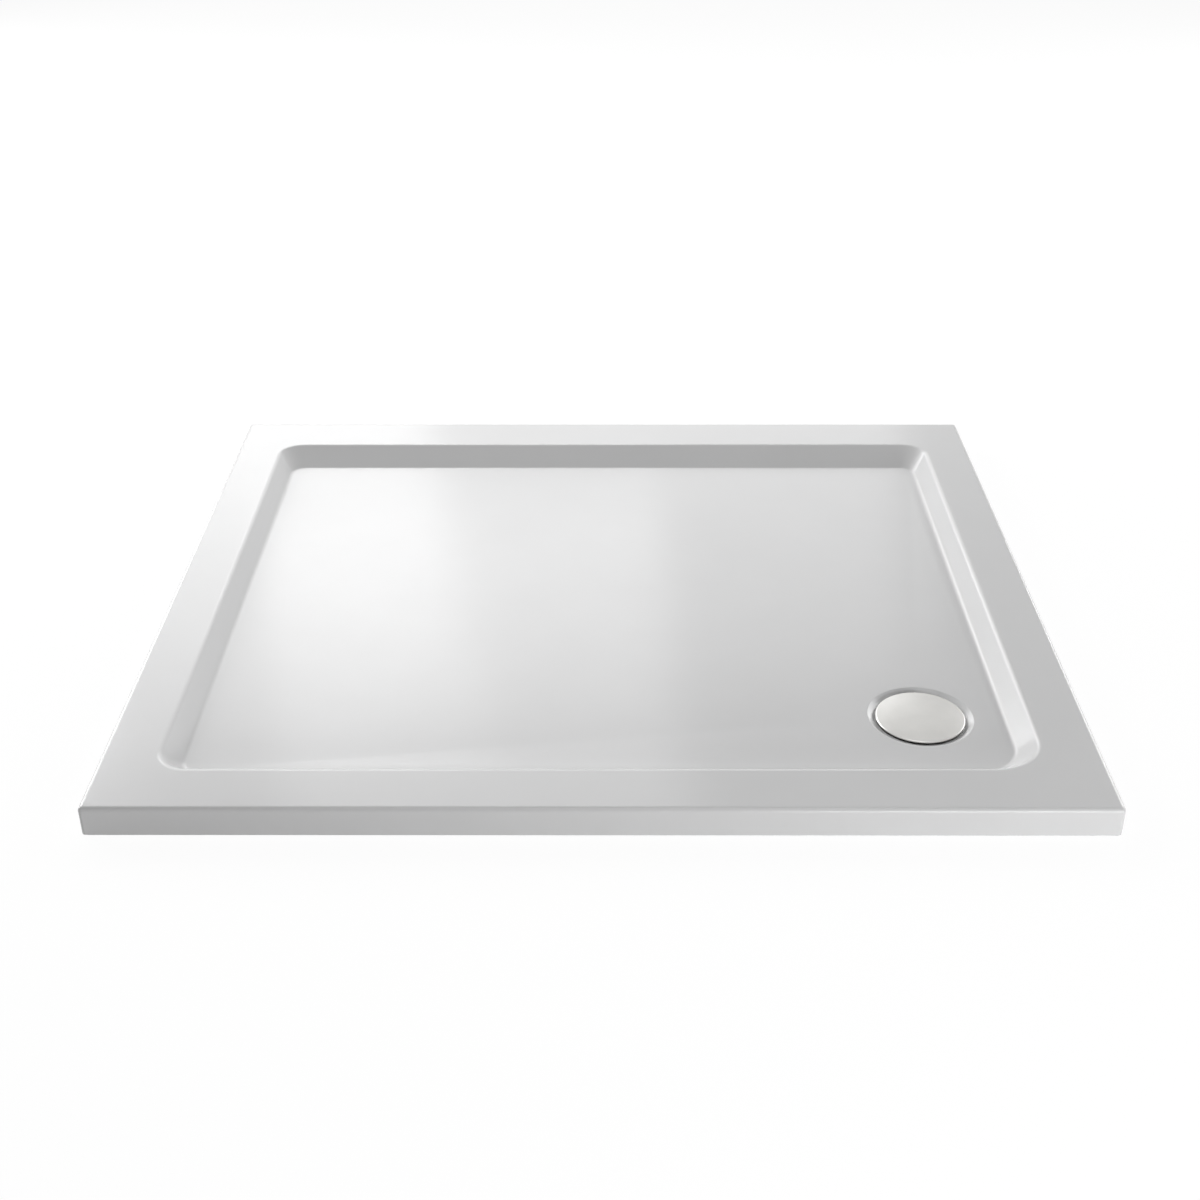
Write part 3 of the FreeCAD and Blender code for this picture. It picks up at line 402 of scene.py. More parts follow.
# The recess: its lip, its slope, and the steps that the flange and its seal lie in.
loops.append(circle(RECESS_TOP + lip_reach + 6 * REBATE_BEVEL, recess_level + REBATE_BEVEL / 10))
for k in range(LIP_STEPS + 1):
    angle = recess_slope * k / LIP_STEPS
    radius = RECESS_TOP + lip_reach - RECESS_LIP_ROUND * math.sin(angle)
    loops.append(circle(radius, recess_level - RECESS_LIP_ROUND * (1.0 - math.cos(angle))))
recess_foot_level = recess_level - RECESS_DEPTH
for share in (0.35, 0.7, 0.96, 1.0):
    loops.append(circle(
        RECESS_TOP + (RECESS_FOOT - RECESS_TOP) * share, recess_level - RECESS_DEPTH * share
    ))
for radius, level in (
    (RECESS_FOOT - 3 * REBATE_BEVEL, recess_foot_level),
    (REBATE + 2 * REBATE_BEVEL, recess_foot_level),
    (REBATE, recess_foot_level - REBATE_BEVEL),
    (REBATE, recess_foot_level - REBATE_DEPTH),
    (SEAL_REBATE, recess_foot_level - REBATE_DEPTH),
    (SEAL_REBATE, recess_foot_level - REBATE_DEPTH - SEAL_REBATE_DEPTH),
    (WASTE_HOLE, recess_foot_level - REBATE_DEPTH - SEAL_REBATE_DEPTH),
):
    loops.append(circle(radius, level))


def skinned(loops):
    """Faces between each loop and the next one in."""
    count = len(loops[0])
    faces = []
    for n in range(len(loops) - 1):
        for k in range(count):
            here, beside = n * count + k, n * count + (k + 1) % count
            faces.append((here, beside, beside + count, here + count))
    return [p for loop in loops for p in loop], faces


def value_group(name, inputs, outputs):
    """A shader group with these number sockets, its input node and its output node."""
    group = bpy.data.node_groups.new(name, "ShaderNodeTree")
    for label, value in inputs:
        socket = group.interface.new_socket(name=label, in_out="INPUT", socket_type="NodeSocketFloat")
        socket.default_value = value
    for label in outputs:
        group.interface.new_socket(name=label, in_out="OUTPUT", socket_type="NodeSocketFloat")
    return group, group.nodes.new("NodeGroupInput"), group.nodes.new("NodeGroupOutput")


# The fine surface variation that every finish uses.
mottle, group_in, group_out = value_group(
    "fine_mottle", (("Scale", 40.0), ("Detail", 3.0), ("Low", 0.0), ("High", 1.0)), ("Value", "Mask")
)
spot = mottle.nodes.new("ShaderNodeTexCoord")
noise = mottle.nodes.new("ShaderNodeTexNoise")
noise.inputs["Roughness"].default_value = 0.55
span = mottle.nodes.new("ShaderNodeMapRange")
span.inputs["From Min"].default_value = 0.3
span.inputs["From Max"].default_value = 0.7
mottle.links.new(spot.outputs["Object"], noise.inputs["Vector"])
mottle.links.new(group_in.outputs["Scale"], noise.inputs["Scale"])
mottle.links.new(group_in.outputs["Detail"], noise.inputs["Detail"])
mottle.links.new(noise.outputs["Fac"], span.inputs["Value"])
mottle.links.new(group_in.outputs["Low"], span.inputs["To Min"])
mottle.links.new(group_in.outputs["High"], span.inputs["To Max"])
mottle.links.new(span.outputs["Result"], group_out.inputs["Value"])
mottle.links.new(noise.outputs["Fac"], group_out.inputs["Mask"])


def add_mottle(tree, scale, detail, low=0.0, high=1.0):
    """One use of the fine variation, with its own values."""
    node = tree.nodes.new("ShaderNodeGroup")
    node.node_tree = mottle
    node.inputs["Scale"].default_value = scale
    node.inputs["Detail"].default_value = detail
    node.inputs["Low"].default_value = low
    node.inputs["High"].default_value = high
    return node


def uneven_colour(tree, shader, scale, detail, dark, light):
    """A base colour that drifts between dark and light. Returns the mask of the drift."""
    drift = add_mottle(tree, scale, detail)
    mix = tree.nodes.new("ShaderNodeMix")
    mix.data_type = "RGBA"
    mix.inputs["A"].default_value = (*dark, 1.0)
    mix.inputs["B"].default_value = (*light, 1.0)
    tree.links.new(drift.outputs["Value"], mix.inputs["Factor"])
    tree.links.new(mix.outputs["Result"], shader.inputs["Base Color"])
    return drift.outputs["Mask"]


def uneven_sheen(tree, shader, scale, detail, low, high):
    """A roughness that drifts between low and high."""
    drift = add_mottle(tree, scale, detail, low, high)
    tree.links.new(drift.outputs["Value"], shader.inputs["Roughness"])


def relief(tree, shader, height, strength, distance):
    """A fine bump from a height that follows the surface."""
    bump = tree.nodes.new("ShaderNodeBump")
    bump.inputs["Strength"].default_value = strength
    bump.inputs["Distance"].default_value = distance
    tree.links.new(height, bump.inputs["Height"])
    tree.links.new(bump.outputs["Normal"], shader.inputs["Normal"])


acrylic, tree, shader = new_material("white_acrylic")
shader.inputs["IOR"].default_value = 1.49
uneven_colour(tree, shader, 9.0, 2.0, (0.835, 0.836, 0.838), (0.85, 0.851, 0.853))
uneven_sheen(tree, shader, 55.0, 4.0, 0.16, 0.21)
relief(tree, shader, add_mottle(tree, 260.0, 2.0).outputs["Mask"], 0.015, 0.0002)

vertices, faces = skinned(loops)
cap = mesh_object("acrylic_cap_skin", vertices, faces, acrylic)
thick = cap.modifiers.new("skin", "SOLIDIFY")
thick.thickness = SKIN
thick.offset = -1.0
thick.use_even_offset = True
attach(cap, "tray")
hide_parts("acrylic_cap")


# ---------------------------------------------------------------- resin core
# The body under the skin: crushed stone in polyester resin, poured on the back of the
# acrylic and levelled while wet, so its underside is flat, matt and speckled.
core_finish, tree, shader = new_material("cast_stone_resin")
speckle = uneven_colour(tree, shader, 900.0, 3.0, (0.36, 0.345, 0.32), (0.62, 0.605, 0.575))
uneven_sheen(tree, shader, 120.0, 3.0, 0.72, 0.92)
relief(tree, shader, speckle, 0.35, 0.0004)
nodes["resin_core"].data.materials.clear()
nodes["resin_core"].data.materials.append(core_finish)


# ---------------------------------------------------------------- waste cover
# A shallow dome pressed from thin steel, plated and lightly satin finished, with its edge
# rolled down. It drops over a plastic carrier and lifts off by hand.
COVER_RADIUS = 0.0472
COVER_EDGE = 0.0087
COVER_EDGE_HEIGHT = 0.0018
COVER_RISE = 0.0021
COVER_SHEET = 0.0009
CROWN_PART = 0.7  # of the way out along the section. The rest is the rolled edge
SECTION_POINTS, ROUND_POINTS = 81, 129
MERGE_DISTANCE = 0.000002


class GeometryMaker:
    """Short ways to write a geometry tree: named inputs with their values, sums and links."""

    def __init__(self, name, inputs):
        self.tree = bpy.data.node_groups.new(name, "GeometryNodeTree")
        sockets = self.tree.interface
        sockets.new_socket(name="Geometry", in_out="INPUT", socket_type="NodeSocketGeometry")
        self.values = {}
        for label, kind, value in inputs:
            socket = sockets.new_socket(name=label, in_out="INPUT", socket_type=kind)
            socket.default_value = value
            self.values[socket.identifier] = value
        dress = sockets.new_socket(name="Material", in_out="INPUT", socket_type="NodeSocketMaterial")
        self.material_key = dress.identifier
        sockets.new_socket(name="Geometry", in_out="OUTPUT", socket_type="NodeSocketGeometry")
        self.source = self.tree.nodes.new("NodeGroupInput")
        self.result = self.tree.nodes.new("NodeGroupOutput")

    def node(self, kind, **settings):
        """A new node with these settings."""
        made = self.tree.nodes.new(kind)
        for key, value in settings.items():
            setattr(made, key, value)
        return made

    def link(self, value, socket):
        """A number set on a socket, or a link to it."""
        if isinstance(value, (int, float)):
            socket.default_value = value
        else:
            self.tree.links.new(value, socket)

    def math(self, operation, a, b=0.0):
        """The result of one sum."""
        made = self.node("ShaderNodeMath", operation=operation)
        self.link(a, made.inputs[0])
        self.link(b, made.inputs[1])
        return made.outputs[0]

    def named(self, label):
        """The value of a named input."""
        return self.source.outputs[label]

    def finish(self, geometry):
        """Real geometry with its material, as the result."""
        real = self.node("GeometryNodeRealizeInstances")
        dressed = self.node("GeometryNodeSetMaterial")
        self.tree.links.new(geometry, real.inputs["Geometry"])
        self.tree.links.new(real.outputs["Geometry"], dressed.inputs["Geometry"])
        self.tree.links.new(self.named("Material"), dressed.inputs["Material"])
        self.tree.links.new(dressed.outputs["Geometry"], self.result.inputs["Geometry"])


def finished_mesh(piece):
    """A plain mesh of a piece with its modifiers applied."""
    bpy.context.view_layer.update()
    evaluated = piece.evaluated_get(bpy.context.evaluated_depsgraph_get())
    return bpy.data.meshes.new_from_object(evaluated)


def made_by(maker, name, material, base=None):
    """A plain mesh piece from a geometry tree, with its values and this material."""
    if base is None:
        base = bpy.data.meshes.new(name + "_base")
    working = bpy.data.objects.new(name + "_working", base)
    scene.collection.objects.link(working)
    modifier = working.modifiers.new("made", "NODES")
    modifier.node_group = maker.tree
    for key, value in maker.values.items():
        modifier[key] = value
    modifier[maker.material_key] = material
    mesh = finished_mesh(working)
    mesh.name = name
    bpy.data.objects.remove(working)
    piece = bpy.data.objects.new(name, mesh)
    scene.collection.objects.link(piece)
    return piece


def smooth_by_angle(piece, degrees):
    """Merged, outward facing and smooth, except across edges sharper than this."""
    shape = bmesh.new()
    shape.from_mesh(piece.data)
    bmesh.ops.remove_doubles(shape, verts=shape.verts, dist=MERGE_DISTANCE)
    bmesh.ops.recalc_face_normals(shape, faces=shape.faces)
    limit = math.radians(degrees)
    for face in shape.faces:
        face.smooth = True
    for edge in shape.edges:
        edge.smooth = not edge.is_manifold or edge.calc_face_angle(0.0) < limit
    shape.to_mesh(piece.data)
    shape.free()
    piece.data.update()


dome = GeometryMaker("pressed_dome", (
    ("Radius", "NodeSocketFloat", COVER_RADIUS),
    ("Edge Level", "NodeSocketFloat", COVER_EDGE),
    ("Edge Height", "NodeSocketFloat", COVER_EDGE_HEIGHT),
    ("Rise", "NodeSocketFloat", COVER_RISE),
    ("Sheet", "NodeSocketFloat", COVER_SHEET),
))
grid = dome.node("GeometryNodeMeshGrid")
grid.inputs["Size X"].default_value = 1.0
grid.inputs["Size Y"].default_value = 1.0
grid.inputs["Vertices X"].default_value = SECTION_POINTS
grid.inputs["Vertices Y"].default_value = ROUND_POINTS
place = dome.node("GeometryNodeInputPosition")
apart = dome.node("ShaderNodeSeparateXYZ")
dome.link(place.outputs[0], apart.inputs[0])
along = dome.math("ADD", apart.outputs["X"], 0.5)
round_turn = dome.math("MULTIPLY", dome.math("ADD", apart.outputs["Y"], 0.5), 2.0 * math.pi)

# The section runs from the crown out to the rolled edge, then back inside to the crown.
past_middle = dome.math("SUBTRACT", dome.math("MULTIPLY", along, 2.0), 1.0)
folded = dome.math("SUBTRACT", 1.0, dome.math("ABSOLUTE", past_middle))
inside = dome.math("GREATER_THAN", along, 0.5)
inset = dome.math("MULTIPLY", dome.named("Sheet"), inside)
crown_share = dome.math("MINIMUM", dome.math("DIVIDE", folded, CROWN_PART), 1.0)
past_crown = dome.math("SUBTRACT", folded, CROWN_PART)
bend_share = dome.math("MAXIMUM", dome.math("DIVIDE", past_crown, 1.0 - CROWN_PART), 0.0)
bend = dome.math("MULTIPLY", bend_share, math.pi / 2)
shoulder = dome.math("SUBTRACT", dome.named("Radius"), dome.named("Edge Height"))
bend_round = dome.math("SUBTRACT", dome.named("Edge Height"), inset)
radius = dome.math(
    "ADD",
    dome.math("MULTIPLY", shoulder, crown_share),
    dome.math("MULTIPLY", bend_round, dome.math("SINE", bend)),
)
fall = dome.math("SUBTRACT", 1.0, dome.math("MULTIPLY", crown_share, crown_share))
edge_height = dome.math("MULTIPLY", bend_round, dome.math("COSINE", bend))
height = dome.math(
    "ADD",
    dome.math("ADD", dome.named("Edge Level"), edge_height),
    dome.math("MULTIPLY", dome.named("Rise"), fall),
)
together = dome.node("ShaderNodeCombineXYZ")
dome.link(dome.math("MULTIPLY", radius, dome.math("COSINE", round_turn)), together.inputs["X"])
dome.link(dome.math("MULTIPLY", radius, dome.math("SINE", round_turn)), together.inputs["Y"])
dome.link(height, together.inputs["Z"])
moved = dome.node("GeometryNodeSetPosition")
dome.link(grid.outputs["Mesh"], moved.inputs["Geometry"])
dome.link(together.outputs[0], moved.inputs["Position"])
closed = dome.node("GeometryNodeMergeByDistance")
closed.inputs["Distance"].default_value = MERGE_DISTANCE / 2
dome.link(moved.outputs["Geometry"], closed.inputs["Geometry"])
dome.finish(closed.outputs["Geometry"])

plated, tree, shader = new_material("satin_plated_steel")
shader.inputs["Metallic"].default_value = 1.0
uneven_colour(tree, shader, 30.0, 3.0, (0.47, 0.466, 0.452), (0.52, 0.515, 0.5))
uneven_sheen(tree, shader, 420.0, 4.0, 0.28, 0.36)

cover = made_by(dome, "waste_cover_dome", plated)
cover.data.transform(Matrix.Translation(WASTE))
smooth_by_angle(cover, 50.0)
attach(cover, "cover")
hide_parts("waste_cover")


# ---------------------------------------------------------------- cover carrier
# The black ring under the cover, moulded in one piece with its arms, the legs that stand on
# the flange and the clips that keep it in the middle of the waste.
MOULD_ROUND = 0.00025
FLAT_WITHIN = math.radians(0.3)
SHARP_FROM = math.radians(40.0)
SMOOTH_BELOW = 35.0


def refined(name, source, rounding):
    """A merged copy of a solid's mesh, its sharp edges softened and its faces smooth between."""
    piece = bpy.data.objects.new(name, nodes[source].data.copy())
    scene.collection.objects.link(piece)
    shape = bmesh.new()
    shape.from_mesh(piece.data)
    bmesh.ops.remove_doubles(shape, verts=shape.verts, dist=MERGE_DISTANCE)
    bmesh.ops.dissolve_limit(shape, angle_limit=FLAT_WITHIN, verts=shape.verts, edges=shape.edges)
    shape.to_mesh(piece.data)
    shape.free()
    softened = piece.modifiers.new("softened", "BEVEL")
    softened.width = rounding
    softened.segments = 2
    softened.limit_method = "ANGLE"
    softened.angle_limit = SHARP_FROM
    mesh = finished_mesh(piece)
    piece.modifiers.remove(softened)
    piece.data = mesh
    smooth_by_angle(piece, SMOOTH_BELOW)
    return piece


def dressed(piece, material, source, body, slot):
    """Puts a finished piece in its solid's place."""
    piece.data.materials.clear()
    piece.data.materials.append(material)
    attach(piece, body)
    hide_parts(source)


def moulded(name, dark, light, shine, dull, grain):
    """Moulded plastic: a faint flow in the colour, an uneven sheen and a fine grain."""
    material, tree, shader = new_material(name)
    uneven_colour(tree, shader, 70.0, 3.0, dark, light)
    uneven_sheen(tree, shader, 240.0, 3.0, shine, dull)
    relief(tree, shader, add_mottle(tree, 2600.0, 2.0).outputs["Mask"], grain, 0.00008)
    return material


black_plastic = moulded(
    "black_moulded_plastic", (0.011, 0.011, 0.012), (0.028, 0.028, 0.029), 0.38, 0.52, 0.2
)
carrier = refined("cover_carrier_moulding", "cover_carrier", MOULD_ROUND)
dressed(carrier, black_plastic, "cover_carrier", "cover", "carrier_plastic")


# ---------------------------------------------------------------- strainer basket
# The lift-out hair strainer: a grey moulded cup with slots round its side, holes in its floor
# and two lugs to lift it by. It hangs by its rim on the lip of the dip tube.
grey_plastic = moulded(
    "grey_moulded_plastic", (0.2, 0.208, 0.218), (0.25, 0.258, 0.268), 0.3, 0.45, 0.12
)
basket = refined("strainer_basket_moulding", "strainer_basket", MOULD_ROUND)
dressed(basket, grey_plastic, "strainer_basket", "strainer", "strainer_plastic")


# ---------------------------------------------------------------- dip tube
# A white moulded tube that stands in the trap and makes the water seal. A lip holds it up on
# the lid, and it lifts out with its O-ring when the trap is cleaned.
white_plastic = moulded(
    "white_moulded_plastic", (0.6, 0.6, 0.585), (0.66, 0.66, 0.645), 0.3, 0.42, 0.12
)
tube = refined("dip_tube_moulding", "dip_tube", MOULD_ROUND)
dressed(tube, white_plastic, "dip_tube", "dip_tube_body", "dip_tube_plastic")


# ---------------------------------------------------------------- seals
# Black rubber: the O-ring in the dip tube's groove, the flat rings that are squeezed above and
# below the tray, and the cone that the slip ring pushes into the mouth of the socket.
rubber, tree, shader = new_material("black_rubber")
bloom = uneven_colour(tree, shader, 160.0, 4.0, (0.012, 0.012, 0.013), (0.032, 0.032, 0.033))
uneven_sheen(tree, shader, 500.0, 3.0, 0.6, 0.8)
relief(tree, shader, bloom, 0.25, 0.0001)
RUBBER_ROUND = 0.00012
RUBBER_RINGS = {
    "dip_tube_o_ring": "dip_tube_body",
    "upper_seal": "tray",
    "lower_seal": "tray",
    "outlet_cone_seal": "tray",
}
for ring_name, body in RUBBER_RINGS.items():
    ring = refined(ring_name + "_rubber", ring_name, RUBBER_ROUND)
    dressed(ring, rubber, ring_name, body, "seal_rubber")


# ---------------------------------------------------------------- waste flange
# Pressed from stainless sheet and finished on a lathe, which leaves fine rings round its
# middle. It lies in the step of the recess and is pulled down on its seal by four screws.
turned_marks, marks_in, marks_out = value_group(
    "turned_marks", (("Scale", 900.0), ("Low", 0.0), ("High", 1.0)), ("Value", "Height")
)
spot = turned_marks.nodes.new("ShaderNodeTexCoord")
from_axis = turned_marks.nodes.new("ShaderNodeVectorMath")
from_axis.operation = "SUBTRACT"
from_axis.inputs[1].default_value = WASTE
rings = turned_marks.nodes.new("ShaderNodeTexWave")
rings.wave_type = "RINGS"
rings.rings_direction = "Z"
rings.inputs["Distortion"].default_value = 0.6
rings.inputs["Detail"].default_value = 4.0
marks_span = turned_marks.nodes.new("ShaderNodeMapRange")
turned_marks.links.new(spot.outputs["Object"], from_axis.inputs[0])
turned_marks.links.new(from_axis.outputs[0], rings.inputs["Vector"])
turned_marks.links.new(marks_in.outputs["Scale"], rings.inputs["Scale"])
turned_marks.links.new(rings.outputs["Fac"], marks_span.inputs["Value"])
turned_marks.links.new(marks_in.outputs["Low"], marks_span.inputs["To Min"])
turned_marks.links.new(marks_in.outputs["High"], marks_span.inputs["To Max"])
turned_marks.links.new(marks_span.outputs["Result"], marks_out.inputs["Value"])
turned_marks.links.new(rings.outputs["Fac"], marks_out.inputs["Height"])

stainless, tree, shader = new_material("turned_stainless_steel")
shader.inputs["Metallic"].default_value = 1.0
uneven_colour(tree, shader, 60.0, 3.0, (0.52, 0.515, 0.505), (0.6, 0.595, 0.585))
marks = tree.nodes.new("ShaderNodeGroup")
marks.node_tree = turned_marks
marks.inputs["Low"].default_value = 0.24
marks.inputs["High"].default_value = 0.36
tree.links.new(marks.outputs["Value"], shader.inputs["Roughness"])
relief(tree, shader, marks.outputs["Height"], 0.12, 0.00005)
FLANGE_ROUND = 0.0002
flange = refined("waste_flange_pressing", "waste_flange", FLANGE_ROUND)
dressed(flange, stainless, "waste_flange", "tray", "flange_steel")


# ---------------------------------------------------------------- flange screws
# Four stainless pan-head machine screws with a cross recess, which pull the lid of the trap up
# to the flange. Their heads lie in its dish, between the throat and the wall.
SCREW_COUNT = 4
FIRST_SCREW = math.radians(45.0)
SCREW_CIRCLE = 0.0282
DISH_TOP = 0.0012
HEAD_RADIUS, HEAD_HEIGHT, HEAD_ROUND = 0.0038, 0.0024, 0.0014
SHANK_RADIUS, SHANK_LENGTH = 0.0025, 0.0084
SCREW_PITCH, SCREW_THREAD = 0.0008, 0.0004
CROSS_LENGTH, CROSS_WIDTH, CROSS_DEPTH = 0.0044, 0.001, 0.0014
CROSS_TAPER, CROSS_OVERRUN = 0.55, 0.0005
HEAD_BEVEL, SCREW_TIP_BEVEL = 0.0001, 0.0003
SCREW_CORE = 0.00001  # the section starts and ends this near to the axis
HEAD_STEPS, SCREW_SIDES = 6, 32
EDGE_ANGLE = 40.0


def lathe(name, rows, steps):
    """A closed ring of rows about the Z axis. A row is a radius, or a function that gives one
    for each angle, and a height."""
    vertices = []
    for radius, height in rows:
        for k in range(steps):
            angle = 2.0 * math.pi * k / steps
            r = radius(angle) if callable(radius) else radius
            vertices.append((r * math.cos(angle), r * math.sin(angle), height))
    faces = []
    for n in range(len(rows)):
        n_next = (n + 1) % len(rows)
        for k in range(steps):
            k_next = (k + 1) % steps
            faces.append((
                n * steps + k, n * steps + k_next, n_next * steps + k_next, n_next * steps + k
            ))
    mesh = bpy.data.meshes.new(name)
    mesh.from_pydata(vertices, [], faces)
    mesh.update()
    return mesh


def thread_rows(root, crest, start, end, pitch, steps_a_turn=10):
    """Rows of a right-handed thread that fades out at both ends, from root to crest."""
    rows = []
    count = max(2, round((end - start) / pitch * steps_a_turn))
    for n in range(count + 1):
        height = start + (end - start) * n / count
        fade = min(1.0, (height - start) / pitch, (end - height) / pitch)

        def radius(angle, height=height, fade=fade):
            phase = (height / pitch - angle / (2.0 * math.pi)) % 1.0
            ridge = min(1.0, max(0.0, 1.6 - 4.0 * abs(phase - 0.5)))
            return root + (crest - root) * ridge * fade

        rows.append((radius, height))
    return rows


circle_of = GeometryMaker("circle_of_fixings", (
    ("Count", "NodeSocketInt", SCREW_COUNT),
    ("Circle Radius", "NodeSocketFloat", SCREW_CIRCLE),
    ("First Turn", "NodeSocketFloat", FIRST_SCREW),
))
stand = circle_of.node("GeometryNodeMeshCircle")
circle_of.link(circle_of.named("Count"), stand.inputs["Vertices"])
circle_of.link(circle_of.named("Circle Radius"), stand.inputs["Radius"])
number = circle_of.node("GeometryNodeInputIndex")
turn_each = circle_of.math("DIVIDE", 2.0 * math.pi, circle_of.named("Count"))
facing = circle_of.node("ShaderNodeCombineXYZ")
circle_of.link(circle_of.math("MULTIPLY", number.outputs[0], turn_each), facing.inputs["Z"])
placed = circle_of.node("GeometryNodeInstanceOnPoints")
circle_of.link(stand.outputs["Mesh"], placed.inputs["Points"])
circle_of.link(circle_of.named("Geometry"), placed.inputs["Instance"])
circle_of.link(facing.outputs[0], placed.inputs["Rotation"])
whole_turn = circle_of.node("ShaderNodeCombineXYZ")
circle_of.link(circle_of.named("First Turn"), whole_turn.inputs["Z"])
turned_all = circle_of.node("GeometryNodeTransform")
circle_of.link(placed.outputs["Instances"], turned_all.inputs["Geometry"])
circle_of.link(whole_turn.outputs[0], turned_all.inputs["Rotation"])
circle_of.finish(turned_all.outputs["Geometry"])

head_top = DISH_TOP + HEAD_HEIGHT
shank_end = DISH_TOP - SHANK_LENGTH
screw_root = SHANK_RADIUS - SCREW_THREAD
screw_rows = [(SCREW_CORE, head_top)]
for k in range(HEAD_STEPS + 1):
    angle = math.radians(90.0 * k / HEAD_STEPS)
    screw_rows.append((
        HEAD_RADIUS - HEAD_ROUND * (1.0 - math.sin(angle)),
        head_top - HEAD_ROUND * (1.0 - math.cos(angle)),
    ))
screw_rows.append((HEAD_RADIUS, DISH_TOP + HEAD_BEVEL))
screw_rows.append((HEAD_RADIUS - HEAD_BEVEL, DISH_TOP))
thread_start = shank_end + SCREW_TIP_BEVEL
screw_rows += reversed(thread_rows(screw_root, SHANK_RADIUS, thread_start, DISH_TOP, SCREW_PITCH))
screw_rows.append((screw_root - SCREW_TIP_BEVEL, shank_end))
screw_rows.append((SCREW_CORE, shank_end))
screw_mesh = lathe("pan_head_screw", screw_rows, SCREW_SIDES)
screw_blank = bpy.data.objects.new("pan_head_screw", screw_mesh)
scene.collection.objects.link(screw_blank)
cross_points, cross_faces = [], []
for along, across in ((CROSS_LENGTH / 2, CROSS_WIDTH / 2), (CROSS_WIDTH / 2, CROSS_LENGTH / 2)):
    start = len(cross_points)
    ends = ((head_top - CROSS_DEPTH, CROSS_TAPER), (head_top + CROSS_OVERRUN, 1.0))
    for height, taper in ends:
        for x, y in ((-1, -1), (1, -1), (1, 1), (-1, 1)):
            long_way = taper if along > across else 1.0
            wide_way = taper if across > along else 1.0
            cross_points.append((x * along * long_way, y * across * wide_way, height))
    cross_faces += [[start + i for i in face] for face in (
        (3, 2, 1, 0), (4, 5, 6, 7), (0, 1, 5, 4), (1, 2, 6, 5), (2, 3, 7, 6), (3, 0, 4, 7),
    )]
cross = mesh_object("cross_recess", cross_points, cross_faces, smooth=False)
recess = screw_blank.modifiers.new("recess", "BOOLEAN")
recess.operation = "DIFFERENCE"
recess.object = cross
recess.solver = "EXACT"
recess.use_self = True
crossed_screw = finished_mesh(screw_blank)
bpy.data.objects.remove(screw_blank)
bpy.data.objects.remove(cross)

screw_steel, tree, shader = new_material("screw_stainless_steel")
shader.inputs["Metallic"].default_value = 1.0
uneven_colour(tree, shader, 300.0, 3.0, (0.5, 0.495, 0.485), (0.6, 0.595, 0.585))
uneven_sheen(tree, shader, 700.0, 3.0, 0.2, 0.34)
screws = made_by(circle_of, "flange_screw_set", screw_steel, crossed_screw)
screws.data.transform(Matrix.Translation(WASTE))
smooth_by_angle(screws, EDGE_ANGLE)
dressed(screws, screw_steel, "flange_screws", "tray", "screw_steel")


# ---------------------------------------------------------------- thread inserts
# Brass sleeves with a straight knurl and a groove round the middle, pressed hot into the bosses
# of the lid. The flange screws turn in them.
INSERT_RADIUS, INSERT_LENGTH = 0.0034, 0.0084
INSERT_TOP = 0.0002
GROOVE_DEPTH, GROOVE_WIDTH = 0.0004, 0.0012
KNURL_COUNT, KNURL_DEPTH = 20, 0.0002
insert_bottom = INSERT_TOP - INSERT_LENGTH
insert_middle = INSERT_TOP - INSERT_LENGTH / 2


def knurled(angle):
    """The radius of the knurl at an angle."""
    return INSERT_RADIUS - KNURL_DEPTH * (0.5 - 0.5 * math.cos(KNURL_COUNT * angle))


insert_rows = [
    (SHANK_RADIUS, insert_bottom),
    (INSERT_RADIUS - KNURL_DEPTH, insert_bottom),
    (knurled, insert_bottom + KNURL_DEPTH),
    (knurled, insert_middle - GROOVE_WIDTH / 2),
    (INSERT_RADIUS - GROOVE_DEPTH, insert_middle - GROOVE_WIDTH / 2),
    (INSERT_RADIUS - GROOVE_DEPTH, insert_middle + GROOVE_WIDTH / 2),
    (knurled, insert_middle + GROOVE_WIDTH / 2),
    (knurled, INSERT_TOP - KNURL_DEPTH),
    (INSERT_RADIUS - KNURL_DEPTH, INSERT_TOP),
    (SHANK_RADIUS, INSERT_TOP),
]
brass, tree, shader = new_material("insert_brass")
shader.inputs["Metallic"].default_value = 1.0
uneven_colour(tree, shader, 400.0, 4.0, (0.52, 0.34, 0.13), (0.7, 0.5, 0.22))
uneven_sheen(tree, shader, 500.0, 3.0, 0.25, 0.42)
insert_blank = lathe("knurled_insert", insert_rows, KNURL_COUNT * 6)
inserts = made_by(circle_of, "thread_insert_set", brass, insert_blank)
inserts.data.transform(Matrix.Translation(WASTE))
smooth_by_angle(inserts, EDGE_ANGLE)
dressed(inserts, brass, "thread_inserts", "tray", "insert_brass")


# ---------------------------------------------------------------- trap lid and bowl
# Two white polypropylene mouldings, hot-plate welded together. The lid holds the inserts and
# the dip tube, and the bowl holds the standing water and ends in the throat of the outlet.
trap_plastic = moulded(
    "white_polypropylene", (0.66, 0.66, 0.65), (0.72, 0.72, 0.71), 0.34, 0.48, 0.16
)
for trap_part in ("trap_lid", "trap_bowl"):
    trap_shell = refined(trap_part + "_moulding", trap_part, MOULD_ROUND)
    dressed(trap_shell, trap_plastic, trap_part, "tray", "trap_plastic")


